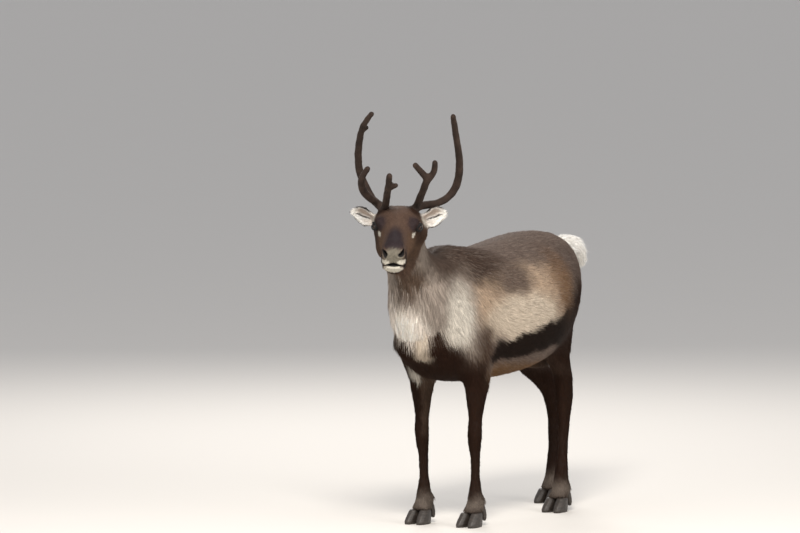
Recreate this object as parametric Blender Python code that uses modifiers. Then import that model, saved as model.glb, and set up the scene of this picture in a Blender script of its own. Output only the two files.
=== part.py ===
"""A life-size standing reindeer in its autumn coat, with antlers in velvet, as a still model.

Metres, +Z up. The animal faces -Y with its head turned to its left, and its left side is +X.
The flesh is lofted in overlapping lengths, fused into one body by a voxel remesh, and then parted
by thin cuts into head, jaw, neck, trunk and the lengths of each leg. Its surface is the outer
outline of the coat. Antlers, ears, eyes, tail and hooves are pieces of their own.
"""

import math

import bmesh
import bpy
from mathutils import Matrix, Vector

# ---------------------------------------------------------------- driving dimensions

GAP = 0.0006  # between neighbouring pieces
BELLY_CUT = 0.480  # the height at which the legs part from the trunk
CORONET = 0.050  # the top of the hooves
FORE_CANNON_TOP = 0.270  # just below the knee
HIND_CANNON_TOP = 0.300  # just below the hock

VOXEL = 0.009
BLEND_ROUNDS = 7
FLESH_TRIANGLES = 3150
HEAD_FAVOUR = 2e-3  # how much the reduction spares the head, in its own measure of error

# Trunk, tail end last: (back along the body, top, widest level, bottom, half width).
TRUNK = [
    (-0.235, 0.800, 0.700, 0.610, 0.050),
    (-0.200, 0.883, 0.710, 0.575, 0.095),
    (-0.130, 0.944, 0.720, 0.525, 0.140),
    (-0.040, 0.970, 0.720, 0.500, 0.168),
    (0.060, 0.960, 0.710, 0.493, 0.192),
    (0.180, 0.949, 0.690, 0.492, 0.222),
    (0.300, 0.957, 0.690, 0.498, 0.236),
    (0.420, 0.972, 0.710, 0.514, 0.228),
    (0.520, 0.979, 0.740, 0.538, 0.202),
    (0.610, 0.973, 0.765, 0.580, 0.165),
    (0.690, 0.950, 0.775, 0.630, 0.125),
    (0.755, 0.910, 0.780, 0.680, 0.085),
    (0.790, 0.860, 0.780, 0.720, 0.040),
]

# Neck, from inside the shoulders to inside the skull: (x, y, z, half height, half width).
NECK = [
    (0.000, -0.020, 0.765, 0.190, 0.150),
    (0.000, -0.110, 0.775, 0.178, 0.130),
    (0.001, -0.195, 0.815, 0.160, 0.107),
    (0.003, -0.262, 0.880, 0.131, 0.078),
    (0.011, -0.310, 0.955, 0.109, 0.068),
    (0.022, -0.340, 1.020, 0.098, 0.069),
    (0.030, -0.370, 1.070, 0.078, 0.064),
]

# Head. Its own axes are forward, left and up from the point midway between the eyes.
EYE_MIDPOINT = Vector((0.068, -0.460, 1.068))
HEAD_TURN = math.radians(27.5)  # to the animal's left
HEAD_DROP = math.radians(16)  # nose below level
HEAD_ROLL = math.radians(1.5)  # left eye lower
# (forward, top, widest level, bottom, half width), nose first.
HEAD = [
    (0.216, -0.020, -0.045, -0.065, 0.020),
    (0.210, 0.002, -0.045, -0.086, 0.038),
    (0.196, 0.014, -0.045, -0.103, 0.0435),
    (0.172, 0.019, -0.042, -0.110, 0.046),
    (0.135, 0.021, -0.038, -0.105, 0.046),
    (0.095, 0.024, -0.034, -0.104, 0.048),
    (0.060, 0.030, -0.028, -0.112, 0.053),
    (0.030, 0.038, -0.022, -0.124, 0.061),
    (0.000, 0.046, -0.018, -0.134, 0.071),
    (-0.035, 0.051, -0.015, -0.140, 0.081),
    (-0.070, 0.048, -0.018, -0.138, 0.087),
    (-0.105, 0.034, -0.026, -0.124, 0.087),
    (-0.140, 0.010, -0.038, -0.098, 0.075),
]
MUZZLE_BACK = 0.050  # ahead of this the head's sections have fuller corners
MUZZLE_SQUARE = 0.9
JAW_LINE = -0.060  # the mouth's level, in the head's own axes
JAW_BACK = 0.045  # how far back the jaw piece runs

# Points on the planes that part the flesh. In the head's axes, then along the body.
POLL = (-0.145, 0, 0.020)
THROAT = (-0.045, 0, -0.150)
NAPE = Vector((0, -0.105, 0.960))
PROW = Vector((0, -0.245, 0.590))
GROIN = Vector((0, 0.440, 0.480))
BUTTOCK = Vector((0, 0.780, 0.740))
FORE_FROM_HIND = 0.300  # back along the body, a line that only forelegs stand ahead of

EYE_RADIUS = 0.0175
EYE_SIDE = 0.070  # each eye's centre from the middle of the head

# Each leg: (x outward, y back, z, half width, half depth), top first.
FORELEG = [
    (0.070, 0.020, 0.860, 0.050, 0.080),
    (0.098, -0.035, 0.740, 0.062, 0.105),
    (0.108, -0.045, 0.640, 0.062, 0.102),
    (0.110, -0.010, 0.550, 0.052, 0.075),
    (0.109, 0.002, 0.490, 0.042, 0.054),
    (0.108, 0.000, 0.430, 0.032, 0.039),
    (0.107, -0.002, 0.370, 0.025, 0.029),
    (0.106, -0.006, 0.320, 0.027, 0.030),
    (0.105, -0.004, 0.285, 0.025, 0.027),
    (0.104, 0.002, 0.240, 0.019, 0.022),
    (0.103, 0.004, 0.170, 0.018, 0.021),
    (0.103, 0.004, 0.120, 0.025, 0.025),
    (0.103, -0.006, 0.085, 0.025, 0.023),
    (0.103, -0.016, 0.055, 0.034, 0.029),
    (0.103, -0.020, 0.035, 0.036, 0.030),
]
HINDLEG_LEFT = [
    (0.065, 0.590, 0.880, 0.055, 0.085),
    (0.080, 0.575, 0.780, 0.070, 0.125),
    (0.090, 0.540, 0.690, 0.068, 0.125),
    (0.102, 0.520, 0.610, 0.058, 0.110),
    (0.108, 0.548, 0.545, 0.040, 0.066),
    (0.110, 0.582, 0.490, 0.033, 0.046),
    (0.111, 0.596, 0.440, 0.027, 0.043),
    (0.110, 0.600, 0.400, 0.027, 0.043),
    (0.109, 0.598, 0.355, 0.025, 0.036),
    (0.108, 0.600, 0.300, 0.020, 0.027),
    (0.107, 0.592, 0.200, 0.019, 0.024),
    (0.106, 0.586, 0.130, 0.026, 0.028),
    (0.106, 0.574, 0.090, 0.026, 0.025),
    (0.106, 0.562, 0.055, 0.034, 0.030),
    (0.106, 0.558, 0.035, 0.036, 0.031),
]
HINDLEG_RIGHT = [
    (-0.070, 0.600, 0.880, 0.060, 0.090),
    (-0.088, 0.595, 0.780, 0.078, 0.132),
    (-0.100, 0.590, 0.690, 0.078, 0.145),
    (-0.106, 0.612, 0.600, 0.062, 0.125),
    (-0.100, 0.675, 0.530, 0.047, 0.108),
    (-0.090, 0.742, 0.470, 0.035, 0.084),
    (-0.082, 0.797, 0.420, 0.028, 0.062),
    (-0.076, 0.826, 0.380, 0.027, 0.047),
    (-0.074, 0.836, 0.335, 0.024, 0.034),
    (-0.073, 0.836, 0.290, 0.020, 0.026),
    (-0.072, 0.836, 0.200, 0.019, 0.024),
    (-0.072, 0.834, 0.130, 0.026, 0.028),
    (-0.072, 0.824, 0.090, 0.026, 0.025),
    (-0.072, 0.812, 0.055, 0.034, 0.030),
    (-0.072, 0.808, 0.035, 0.036, 0.031),
]

LEGS = (
    ("foreleg_left", FORELEG, 1),
    ("foreleg_right", FORELEG, -1),
    ("hindleg_left", HINDLEG_LEFT, 1),
    ("hindleg_right", HINDLEG_RIGHT, 1),
)

# Tail: (y, z, half width, half thickness), root first.
TAIL = [
    (0.720, 0.890, 0.030, 0.022),
    (0.765, 0.916, 0.042, 0.028),
    (0.805, 0.917, 0.050, 0.030),
    (0.838, 0.898, 0.050, 0.030),
    (0.858, 0.870, 0.045, 0.028),
    (0.867, 0.846, 0.032, 0.021),
]

# Hoof claw, from the sole up: (height, back from the toe's centre, half length, half width).
CLAW = [
    (0.000, -0.006, 0.0430, 0.0175),
    (0.008, -0.007, 0.0440, 0.0187),
    (0.024, -0.001, 0.0390, 0.0186),
    (0.040, 0.006, 0.0310, 0.0175),
    (CORONET - GAP, 0.010, 0.0265, 0.0160),
]
CLAW_SPREAD = 0.0205  # each claw's middle from the foot's middle
CLAW_BACK = -0.012  # and forward of it
CLAW_TOE_OUT = math.radians(5)
DEWCLAW_SPREAD = 0.0185
# Dewclaw, from the tip up: (height, back from the foot's middle, half width, half depth).
DEWCLAW = [
    (0.016, 0.051, 0.0060, 0.0065),
    (0.026, 0.048, 0.0105, 0.0105),
    (0.042, 0.044, 0.0125, 0.0125),
    (0.060, 0.038, 0.0120, 0.0125),
    (0.076, 0.032, 0.0095, 0.0100),
]
FETLOCK = (0.016, 0.030, 0.085)  # the hair above each dewclaw, from the foot's middle on the ground
FETLOCK_SIZES = (0.019, 0.023, 0.028)

# Each ear's root and tip in the head's axes (forward, outward, up), and its breadth. The left one
# is raised and turned wider.
EARS = {
    "left": ((-0.082, 0.074, -0.008), (-0.138, 0.162, -0.001), 1.14),
    "right": ((-0.082, 0.074, -0.012), (-0.138, 0.168, -0.006), 1.0),
}
EAR_THICK = 0.007
# Along the ear: (share of its length, half width along the curve, curl of each edge in degrees).
EAR = [
    (0.00, 0.024, 95),
    (0.20, 0.034, 85),
    (0.45, 0.040, 62),
    (0.70, 0.034, 48),
    (0.88, 0.020, 38),
    (1.00, 0.005, 30),
]

# Antlers, in the head's axes: (forward, outward, up, radius), root first.
LEFT_BEAM = [
    (-0.070, 0.047, 0.026, 0.0175),
    (-0.100, 0.068, 0.038, 0.0148),
    (-0.165, 0.127, 0.026, 0.0125),
    (-0.200, 0.174, 0.047, 0.0130),
    (-0.200, 0.197, 0.106, 0.0130),
    (-0.170, 0.201, 0.186, 0.0125),
    (-0.120, 0.191, 0.291, 0.0110),
    (-0.068, 0.183, 0.380, 0.0090),
]
LEFT_TINE = [
    (-0.090, 0.055, 0.028, 0.0130),
    (-0.050, 0.076, 0.090, 0.0125),
    (-0.012, 0.093, 0.148, 0.0125),
    (0.005, 0.100, 0.178, 0.0130),
    (0.022, 0.084, 0.206, 0.0105),
    (0.046, 0.062, 0.242, 0.0090),
]
LEFT_TINE_FORK = [
    (-0.005, 0.097, 0.165, 0.0110),
    (0.005, 0.116, 0.190, 0.0105),
    (0.010, 0.126, 0.215, 0.0100),
    (0.015, 0.127, 0.242, 0.0085),
]
RIGHT_BEAM = [
    (-0.070, 0.047, 0.026, 0.0175),
    (-0.110, 0.069, 0.034, 0.0145),
    (-0.158, 0.095, 0.038, 0.0130),
    (-0.190, 0.120, 0.069, 0.0130),
    (-0.190, 0.141, 0.124, 0.0130),
    (-0.165, 0.145, 0.201, 0.0120),
    (-0.120, 0.133, 0.294, 0.0110),
    (-0.085, 0.114, 0.348, 0.0095),
    (-0.058, 0.094, 0.385, 0.0080),
]
RIGHT_BEAM_KNOB = [
    (-0.114, 0.125, 0.313, 0.0090),
    (-0.110, 0.113, 0.315, 0.0070),
]
RIGHT_BROW = [
    (-0.075, 0.050, 0.026, 0.0135),
    (-0.045, 0.041, 0.073, 0.0120),
    (-0.005, 0.035, 0.119, 0.0115),
    (0.032, 0.029, 0.163, 0.0110),
    (0.060, 0.025, 0.205, 0.0090),
]
RIGHT_BROW_FORK = [
    (0.015, 0.031, 0.139, 0.0090),
    (0.030, 0.016, 0.155, 0.0090),
    (0.044, 0.003, 0.166, 0.0070),
]
RIGHT_BEZ = [
    (-0.105, 0.069, 0.040, 0.0120),
    (-0.075, 0.095, 0.068, 0.0125),
    (-0.050, 0.117, 0.103, 0.0125),
    (-0.030, 0.126, 0.139, 0.0120),
    (-0.006, 0.119, 0.179, 0.0110),
    (0.015, 0.102, 0.212, 0.0085),
]

# ---------------------------------------------------------------- colours and materials

MATERIALS = {
    "coat_back": ((0.16, 0.125, 0.10), 0.85),
    "coat_neck": ((0.45, 0.40, 0.34), 0.85),
    "coat_face": ((0.11, 0.075, 0.055), 0.8),
    "coat_leg": ((0.075, 0.052, 0.042), 0.8),
    "coat_white": ((0.80, 0.76, 0.70), 0.85),
    "velvet": ((0.055, 0.038, 0.032), 0.75),
    "hoof": ((0.035, 0.03, 0.028), 0.45),
    "eye": ((0.015, 0.01, 0.008), 0.08),
}


def material(name):
    """The named material, made once."""
    made = bpy.data.materials.get(name)
    if made is None:
        colour, roughness = MATERIALS[name]
        made = bpy.data.materials.new(name)
        made.use_nodes = True
        shader = made.node_tree.nodes["Principled BSDF"]
        shader.inputs["Base Color"].default_value = (*colour, 1)
        shader.inputs["Roughness"].default_value = roughness
        shader.inputs["Metallic"].default_value = 0
    return made


# ---------------------------------------------------------------- frames and curves


def head_axes():
    """The head's forward, left and up directions."""
    turn = Matrix.Rotation(HEAD_TURN, 3, "Z")
    drop = Matrix.Rotation(HEAD_DROP, 3, "X")
    roll = Matrix.Rotation(HEAD_ROLL, 3, "Y")
    turned = turn @ drop @ roll
    return turned @ Vector((0, -1, 0)), turned @ Vector((1, 0, 0)), turned @ Vector((0, 0, 1))


FORWARD, LEFT, UP = head_axes()


def in_head(forward, left, up):
    """A point given along the head's own axes."""
    return EYE_MIDPOINT + FORWARD * forward + LEFT * left + UP * up


def smooth_rows(rows, steps):
    """The rows with steps - 1 more between each pair, on a Catmull-Rom curve through all of them."""
    found = []
    for i in range(len(rows) - 1):
        before, start = rows[max(i - 1, 0)], rows[i]
        end, after = rows[i + 1], rows[min(i + 2, len(rows) - 1)]
        for k in range(steps):
            t = k / steps
            found.append(
                tuple(
                    0.5 * (2 * b + (c - a) * t + (2 * a - 5 * b + 4 * c - d) * t**2
                           + (3 * b - a - 3 * c + d) * t**3)
                    for a, b, c, d in zip(before, start, end, after)
                )
            )
    return found + [rows[-1]]


def oval(centre, across, upward, width, above, below, sides, square=1.0):
    """A closed ring of points. Square below 1 fills its corners, as a superellipse does."""
    ring = []
    for k in range(sides):
        angle = 2 * math.pi * k / sides
        c, s = math.cos(angle), math.sin(angle)
        x = math.copysign(abs(c) ** square, c) * width
        y = math.copysign(abs(s) ** square, s) * (above if s > 0 else below)
        ring.append(centre + across * x + upward * y)
    return ring


def loft(name, rings):
    """A closed mesh object through rings of equally many points, with flat ends."""
    mesh = bmesh.new()
    loops = [[mesh.verts.new(p) for p in ring] for ring in rings]
    sides = len(rings[0])
    for a, b in zip(loops, loops[1:]):
        for k in range(sides):
            mesh.faces.new((a[k], a[(k + 1) % sides], b[(k + 1) % sides], b[k]))
    mesh.faces.new(reversed(loops[0]))
    mesh.faces.new(loops[-1])
    bmesh.ops.recalc_face_normals(mesh, faces=mesh.faces)
    return object_of(name, mesh)


def object_of(name, mesh):
    """A new object in the model's collection that holds this bmesh."""
    data = bpy.data.meshes.new(name)
    mesh.to_mesh(data)
    mesh.free()
    made = bpy.data.objects.new(name, data)
    bpy.data.collections["reindeer"].objects.link(made)
    return made


# ---------------------------------------------------------------- flesh


def trunk_loft():
    """The barrel from the chest to the rump."""
    rings = []
    for y, top, middle, bottom, half in smooth_rows(TRUNK, 3):
        centre = Vector((0, y, middle))
        rings.append(oval(centre, Vector((1, 0, 0)), Vector((0, 0, 1)), half, top - middle,
                          middle - bottom, 32, 0.92))
    return loft("trunk", rings)


def neck_loft():
    """The neck with its mane, its sections square to its curve."""
    rows = smooth_rows(NECK, 3)
    rings = []
    for i, (x, y, z, tall, half) in enumerate(rows):
        before, after = rows[max(i - 1, 0)], rows[min(i + 1, len(rows) - 1)]
        along = (Vector(after[:3]) - Vector(before[:3])).normalized()
        across = along.cross(Vector((0, 0, 1))).normalized()
        if across.length < 0.5:
            across = Vector((1, 0, 0))
        upward = across.cross(along)
        rings.append(oval(Vector((x, y, z)), across, upward, half, tall, tall, 28))
    return loft("neck", rings)


def head_loft():
    """The skull and jaws, round behind the eyes and fuller in the muzzle."""
    rings = []
    for forward, top, middle, bottom, half in smooth_rows(HEAD, 3):
        centre = in_head(forward, 0, middle)
        square = MUZZLE_SQUARE if forward > MUZZLE_BACK else 1.0
        rings.append(oval(centre, LEFT, UP, half, top - middle, middle - bottom, 32, square))
    return loft("head", rings)


def leg_loft(name, rows, side=1):
    """A leg from inside the body to inside the hooves, its sections level."""
    rings = []
    for x, y, z, half, deep in smooth_rows(rows, 3):
        rings.append(oval(Vector((x * side, y, z)), Vector((1, 0, 0)), Vector((0, 1, 0)), half,
                          deep, deep, 20))
    return loft(name, rings)


def lump(name, centre, axes, sizes):
    """An ellipsoid with half lengths sizes along axes, for a muscle or a fold that stands proud."""
    mesh = bmesh.new()
    bmesh.ops.create_uvsphere(mesh, u_segments=20, v_segments=12, radius=1)
    turn = Matrix(axes).transposed().to_4x4()
    turn.translation = centre
    bmesh.ops.transform(mesh, matrix=turn @ Matrix.Diagonal((*sizes, 1)), verts=mesh.verts)
    return object_of(name, mesh)


def muscles():
    """The masses that the lofts leave out, on the head, chest and groin and above the dewclaws."""
    made = []
    head = (FORWARD, LEFT, UP)
    for side in (1, -1):
        made.append(lump("brow", in_head(0.000, side * 0.063, 0.020), head, (0.034, 0.016, 0.012)))
        made.append(lump("cheek", in_head(-0.045, side * 0.049, -0.080), head, (0.058, 0.028, 0.056)))
        made.append(lump("nostril", in_head(0.192, side * 0.025, -0.012), head, (0.022, 0.017, 0.018)))
        made.append(lump("pedicle", in_head(-0.072, side * 0.044, 0.028), head, (0.026, 0.022, 0.022)))
    made.append(lump("left_cheek", in_head(-0.072, 0.070, -0.048), head, (0.045, 0.032, 0.044)))
    body = (Vector((1, 0, 0)), Vector((0, 1, 0)), Vector((0, 0, 1)))
    made.append(lump("ruff", Vector((0, -0.200, 0.695)), body, (0.098, 0.078, 0.118)))
    made.append(lump("groin", Vector((0, 0.590, 0.535)), body, (0.062, 0.080, 0.042)))
    for _, rows, side in LEGS:
        foot_middle = Vector((side * rows[-2][0], rows[-2][1], 0))
        for out in (1, -1):
            place = foot_middle + Vector((out * FETLOCK[0], *FETLOCK[1:]))
            made.append(lump("fetlock", place, body, FETLOCK_SIZES))
    return made


def fused(objects):
    """One closed body from overlapping ones, its creases blended, as a new object."""
    mesh = bmesh.new()
    for obj in objects:
        mesh.from_mesh(obj.data)
        bpy.data.objects.remove(obj)
    whole = object_of("flesh", mesh)
    remesh = whole.modifiers.new("fuse", "REMESH")
    remesh.mode = "VOXEL"
    remesh.voxel_size = VOXEL
    blend = whole.modifiers.new("blend", "SMOOTH")
    blend.factor = 0.5
    blend.iterations = BLEND_ROUNDS
    apply_modifiers(whole)
    return whole


def apply_modifiers(obj):
    """Replaces the object's mesh with its evaluated one."""
    graph = bpy.context.evaluated_depsgraph_get()
    made = bpy.data.meshes.new_from_object(obj.evaluated_get(graph))
    obj.modifiers.clear()
    obj.data = made


def reduce_flesh(whole):
    """Brings the body down to FLESH_TRIANGLES, sparing the head."""
    group = whole.vertex_groups.new(name="reduce")
    poll, face = in_head(-0.12, 0, -0.03), in_head(0.04, 0, -0.03)
    for vertex in whole.data.vertices:
        spared = (vertex.co - face).length < 0.24 and (vertex.co - poll).dot(FORWARD) > 0
        group.add([vertex.index], 0.01 if spared else 1.0, "REPLACE")
    triangles = sum(len(face.vertices) - 2 for face in whole.data.polygons)
    decimate = whole.modifiers.new("reduce", "DECIMATE")
    decimate.ratio = FLESH_TRIANGLES / triangles
    decimate.vertex_group = "reduce"
    decimate.vertex_group_factor = HEAD_FAVOUR
    apply_modifiers(whole)


# ---------------------------------------------------------------- cuts


def half_of(obj, name, point, normal):
    """The part of obj on the side that normal points to, closed at the plane, half a gap away."""
    normal = Vector(normal).normalized()
    mesh = bmesh.new()
    mesh.from_mesh(obj.data)
    bmesh.ops.bisect_plane(mesh, geom=mesh.verts[:] + mesh.edges[:] + mesh.faces[:], dist=1e-6,
                           plane_co=Vector(point) + normal * GAP / 2, plane_no=normal, clear_inner=True)
    rim = [edge for edge in mesh.edges if edge.is_boundary]
    bmesh.ops.holes_fill(mesh, edges=rim)
    bmesh.ops.triangulate(mesh, faces=[face for face in mesh.faces if len(face.verts) > 4])
    return object_of(name, mesh)


def cut(obj, point, normal, front, back):
    """Splits obj at a plane into two objects, and removes it."""
    pieces = half_of(obj, front, point, normal), half_of(obj, back, point, -Vector(normal))
    bpy.data.objects.remove(obj)
    return pieces


def loose_parts(obj, namer):
    """The separate bodies of obj as objects of their own, named by namer(centre)."""
    made = []
    for i in range(len(bodies_in(copy_of(obj)))):
        mesh = copy_of(obj)
        bodies = bodies_in(mesh)
        centre = sum((v.co for v in bodies[i]), Vector()) / len(bodies[i])
        for body in bodies[:i] + bodies[i + 1:]:
            bmesh.ops.delete(mesh, geom=body, context="VERTS")
        made.append(object_of(namer(centre), mesh))
    bpy.data.objects.remove(obj)
    return made


def boolean(obj, cutter, operation):
    """Applies one Boolean to obj, and keeps the cutter."""
    step = obj.modifiers.new(operation.lower(), "BOOLEAN")
    step.operation = operation
    step.object = cutter
    apply_modifiers(obj)


def jaw_box(name, grow):
    """The block of space that the lower jaw fills, grown on every side."""
    back, front, deep = JAW_BACK - grow, 0.30, -0.30
    high, wide = JAW_LINE + grow, 0.20
    mesh = bmesh.new()
    bmesh.ops.create_cube(mesh, size=1)
    middle = in_head((back + front) / 2, 0, (deep + high) / 2)
    turn = Matrix((FORWARD, LEFT, UP)).transposed().to_4x4()
    turn.translation = middle
    size = Matrix.Diagonal((front - back, 2 * wide, high - deep, 1))
    bmesh.ops.transform(mesh, matrix=turn @ size, verts=mesh.verts)
    return object_of(name, mesh)


def part_flesh(whole):
    """Cuts the body into its named pieces, and gives back the head and trunk."""
    poll, across = in_head(*POLL), Vector((1, 0, 0))
    head, rest = cut(whole, poll, (in_head(*THROAT) - poll).cross(LEFT), "head", "body")
    _, rest = cut(rest, NAPE, (PROW - NAPE).cross(across), "neck", "rest")
    rest, legs = cut(rest, (0, 0, BELLY_CUT), (0, 0, 1), "torso", "legs")
    trunk, thighs = cut(rest, GROIN, across.cross(BUTTOCK - GROIN), "trunk", "thighs")
    cut(thighs, (0, 0, 0), (1, 0, 0), "hindleg_left_thigh", "hindleg_right_thigh")

    for leg in loose_parts(legs, leg_name):
        part_leg(leg)
    jaw = object_of("jaw", copy_of(head))
    for piece, grow, operation in ((jaw, -GAP / 2, "INTERSECT"), (head, GAP / 2, "DIFFERENCE")):
        block = jaw_box("block", grow)
        boolean(piece, block, operation)
        bpy.data.objects.remove(block)
    return head, trunk


def leg_name(centre):
    """A leg's name from where it stands."""
    pair = "foreleg" if centre.y < FORE_FROM_HIND else "hindleg"
    return f"{pair}_{'left' if centre.x > 0 else 'right'}"


def part_leg(leg):
    """Parts a leg below the knee or hock, and ends its lower length at the hooves."""
    name = leg.name
    fore = name.startswith("foreleg")
    knee = FORE_CANNON_TOP if fore else HIND_CANNON_TOP
    upper = name + ("_forearm" if fore else "_hock")
    _, lower = cut(leg, (0, 0, knee), (0, 0, 1), upper, "lower")
    half_of(lower, name + "_cannon", (0, 0, CORONET + GAP / 2), (0, 0, 1))
    bpy.data.objects.remove(lower)


def copy_of(obj):
    """The object's mesh as a bmesh of its own."""
    mesh = bmesh.new()
    mesh.from_mesh(obj.data)
    return mesh


# ---------------------------------------------------------------- pieces of their own


def tube(name, rows, side, grow=0.0, sides=7, steps=2):
    """An antler length: a round tapered tube with a domed tip along rows in the head's axes."""
    rows = smooth_rows(rows, steps)
    points = [in_head(f, side * out, up) for f, out, up, _ in rows]
    radii = [row[3] + grow for row in rows]
    points[0] -= (points[1] - points[0]).normalized() * grow
    tip, along = points[-1], (points[-1] - points[-2]).normalized()
    for share in (0.5, 0.85, 0.99):
        points.append(tip + along * (rows[-1][3] + grow) * share)
        radii.append(radii[len(rows) - 1] * math.sqrt(1 - share**2))
    rings, across = [], LEFT
    for i, (point, radius) in enumerate(zip(points, radii)):
        along = (points[min(i + 1, len(points) - 1)] - points[max(i - 1, 0)]).normalized()
        across = (across - along * across.dot(along)).normalized()
        rings.append(oval(point, across, along.cross(across), radius, radius, radius, sides))
    return loft(name, rings)


def forked(name, rows, fork, side, grow=0.0):
    """A tine whose side prong is joined to it."""
    stem = tube(name, rows, side, grow)
    prong = tube(name + "_prong", fork, side, grow)
    boolean(stem, prong, "UNION")
    bpy.data.objects.remove(prong)
    return stem


def antlers(head):
    """Both antlers, each parted at its main forks, and their sockets in the head."""
    left_beam = tube("antler_left_beam", LEFT_BEAM, 1)
    left_tine = forked("antler_left_bez_tine", LEFT_TINE, LEFT_TINE_FORK, 1)
    right_beam = forked("antler_right_beam", RIGHT_BEAM, RIGHT_BEAM_KNOB, -1)
    right_brow = forked("antler_right_brow_tine", RIGHT_BROW, RIGHT_BROW_FORK, -1)
    right_bez = tube("antler_right_bez_tine", RIGHT_BEZ, -1)
    wide_left = tube("left_cutter", LEFT_BEAM, 1, GAP)
    wide_right = tube("right_cutter", RIGHT_BEAM, -1, GAP)
    wide_brow = tube("brow_cutter", RIGHT_BROW, -1, GAP)
    wide_tine = tube("tine_cutter", LEFT_TINE, 1, GAP)
    boolean(left_tine, wide_left, "DIFFERENCE")
    boolean(right_brow, wide_right, "DIFFERENCE")
    boolean(wide_right, wide_brow, "UNION")
    boolean(right_bez, wide_right, "DIFFERENCE")
    boolean(wide_left, wide_tine, "UNION")
    boolean(head, wide_left, "DIFFERENCE")
    boolean(head, wide_right, "DIFFERENCE")
    for piece in (left_tine, right_brow, right_bez, head):
        keep_largest(piece)
    for cutter in (wide_left, wide_right, wide_brow, wide_tine):
        bpy.data.objects.remove(cutter)
    for piece in (left_beam, left_tine, right_beam, right_brow, right_bez):
        piece.data.materials.append(material("velvet"))


def bodies_in(mesh):
    """The points of each separate body of a bmesh, in the order of their first points."""
    seen, bodies = set(), []
    for start in mesh.verts:
        if start in seen:
            continue
        seen.add(start)
        body, todo = [], [start]
        while todo:
            vertex = todo.pop()
            body.append(vertex)
            for edge in vertex.link_edges:
                other = edge.other_vert(vertex)
                if other not in seen:
                    seen.add(other)
                    todo.append(other)
        bodies.append(body)
    return bodies


def keep_largest(obj):
    """Drops the crumbs that a cut can leave beside the piece itself."""
    mesh = copy_of(obj)
    for body in sorted(bodies_in(mesh), key=len)[:-1]:
        bmesh.ops.delete(mesh, geom=body, context="VERTS")
    mesh.to_mesh(obj.data)
    mesh.free()


def ear(name, side, grow=0.0):
    """A cupped leaf of skin that opens forwards, closed to a thin solid."""
    root, tip, breadth = EARS["left" if side > 0 else "right"]
    root = in_head(root[0], side * root[1], root[2])
    tip = in_head(tip[0], side * tip[1], tip[2])
    along = (tip - root).normalized()
    root, tip = root - along * 2 * grow, tip + along * 2 * grow
    opening = (FORWARD - along * FORWARD.dot(along)).normalized()
    wide = along.cross(opening) * side
    mesh = bmesh.new()
    rows, columns = smooth_rows(EAR, 1), 8
    grid = []
    for share, half, curl in rows:
        half *= breadth
        turn = math.radians(curl)
        bend = half / turn
        line = []
        for k in range(columns + 1):
            angle = (2 * k / columns - 1) * turn * (1 + 2 * grow / half)
            offset = wide * bend * math.sin(angle) + opening * bend * (1 - math.cos(angle))
            line.append(mesh.verts.new(root.lerp(tip, share) + offset - opening * 0.4 * bend))
        grid.append(line)
    for a, b in zip(grid, grid[1:]):
        for k in range(columns):
            mesh.faces.new((a[k], a[k + 1], b[k + 1], b[k]))
    made = object_of(name, mesh)
    shell = made.modifiers.new("thickness", "SOLIDIFY")
    shell.thickness = EAR_THICK + 2 * grow
    shell.offset = 0
    apply_modifiers(made)
    mesh = copy_of(made)
    bmesh.ops.recalc_face_normals(mesh, faces=mesh.faces)
    mesh.to_mesh(made.data)
    mesh.free()
    return made


def eye(name, side, grow=0.0):
    """An eyeball."""
    mesh = bmesh.new()
    bmesh.ops.create_uvsphere(mesh, u_segments=12, v_segments=8, radius=EYE_RADIUS + grow)
    bmesh.ops.translate(mesh, vec=in_head(0, side * EYE_SIDE, 0), verts=mesh.verts)
    return object_of(name, mesh)


def head_pieces(head):
    """Ears and eyes, with their sockets in the head."""
    for side, word in ((1, "left"), (-1, "right")):
        for made, slot, build in (("ear_", "coat_white", ear), ("eye_", "eye", eye)):
            build(made + word, side).data.materials.append(material(slot))
            socket = build("socket", side, GAP)
            boolean(head, socket, "DIFFERENCE")
            bpy.data.objects.remove(socket)
    keep_largest(head)


def tail_loft(name, grow=0.0):
    """The tail with its hair, raised a little and hanging at its end."""
    rows = smooth_rows(TAIL, 1)
    rings = []
    for i, (y, z, half, thick) in enumerate(rows):
        before, after = rows[max(i - 1, 0)], rows[min(i + 1, len(rows) - 1)]
        along = Vector((0, after[0] - before[0], after[1] - before[1])).normalized()
        upward = Vector((1, 0, 0)).cross(along)
        rings.append(oval(Vector((0, y, z)), Vector((1, 0, 0)), upward, half + grow, thick + grow,
                          thick + grow, 12))
    return loft(name, rings)


def tail(trunk):
    """The tail and its socket in the trunk."""
    made = tail_loft("tail")
    made.data.materials.append(material("coat_white"))
    socket = tail_loft("socket", GAP)
    boolean(trunk, socket, "DIFFERENCE")
    bpy.data.objects.remove(socket)
    keep_largest(trunk)


def dewclaw(name, x, y, grow=0.0):
    """One of the two small hooves that hang behind a foot whose middle is at (x, y)."""
    rings = []
    for i, (height, back, half, deep) in enumerate(DEWCLAW):
        height += grow * (1 if i else -1)
        rings.append(oval(Vector((x, y + back, height)), Vector((1, 0, 0)), Vector((0, 1, 0)),
                          half + grow, deep + grow, deep + grow, 6))
    return loft(name, rings)


def claw(name, middle, turn):
    """Half of a cloven hoof, flat below."""
    rings = []
    for height, back, long, half in CLAW:
        centre = middle + turn @ Vector((0, back, height))
        rings.append(oval(centre, turn @ Vector((1, 0, 0)), turn @ Vector((0, 1, 0)), half, long,
                          long, 10, 0.85))
    return loft(name, rings)


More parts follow.
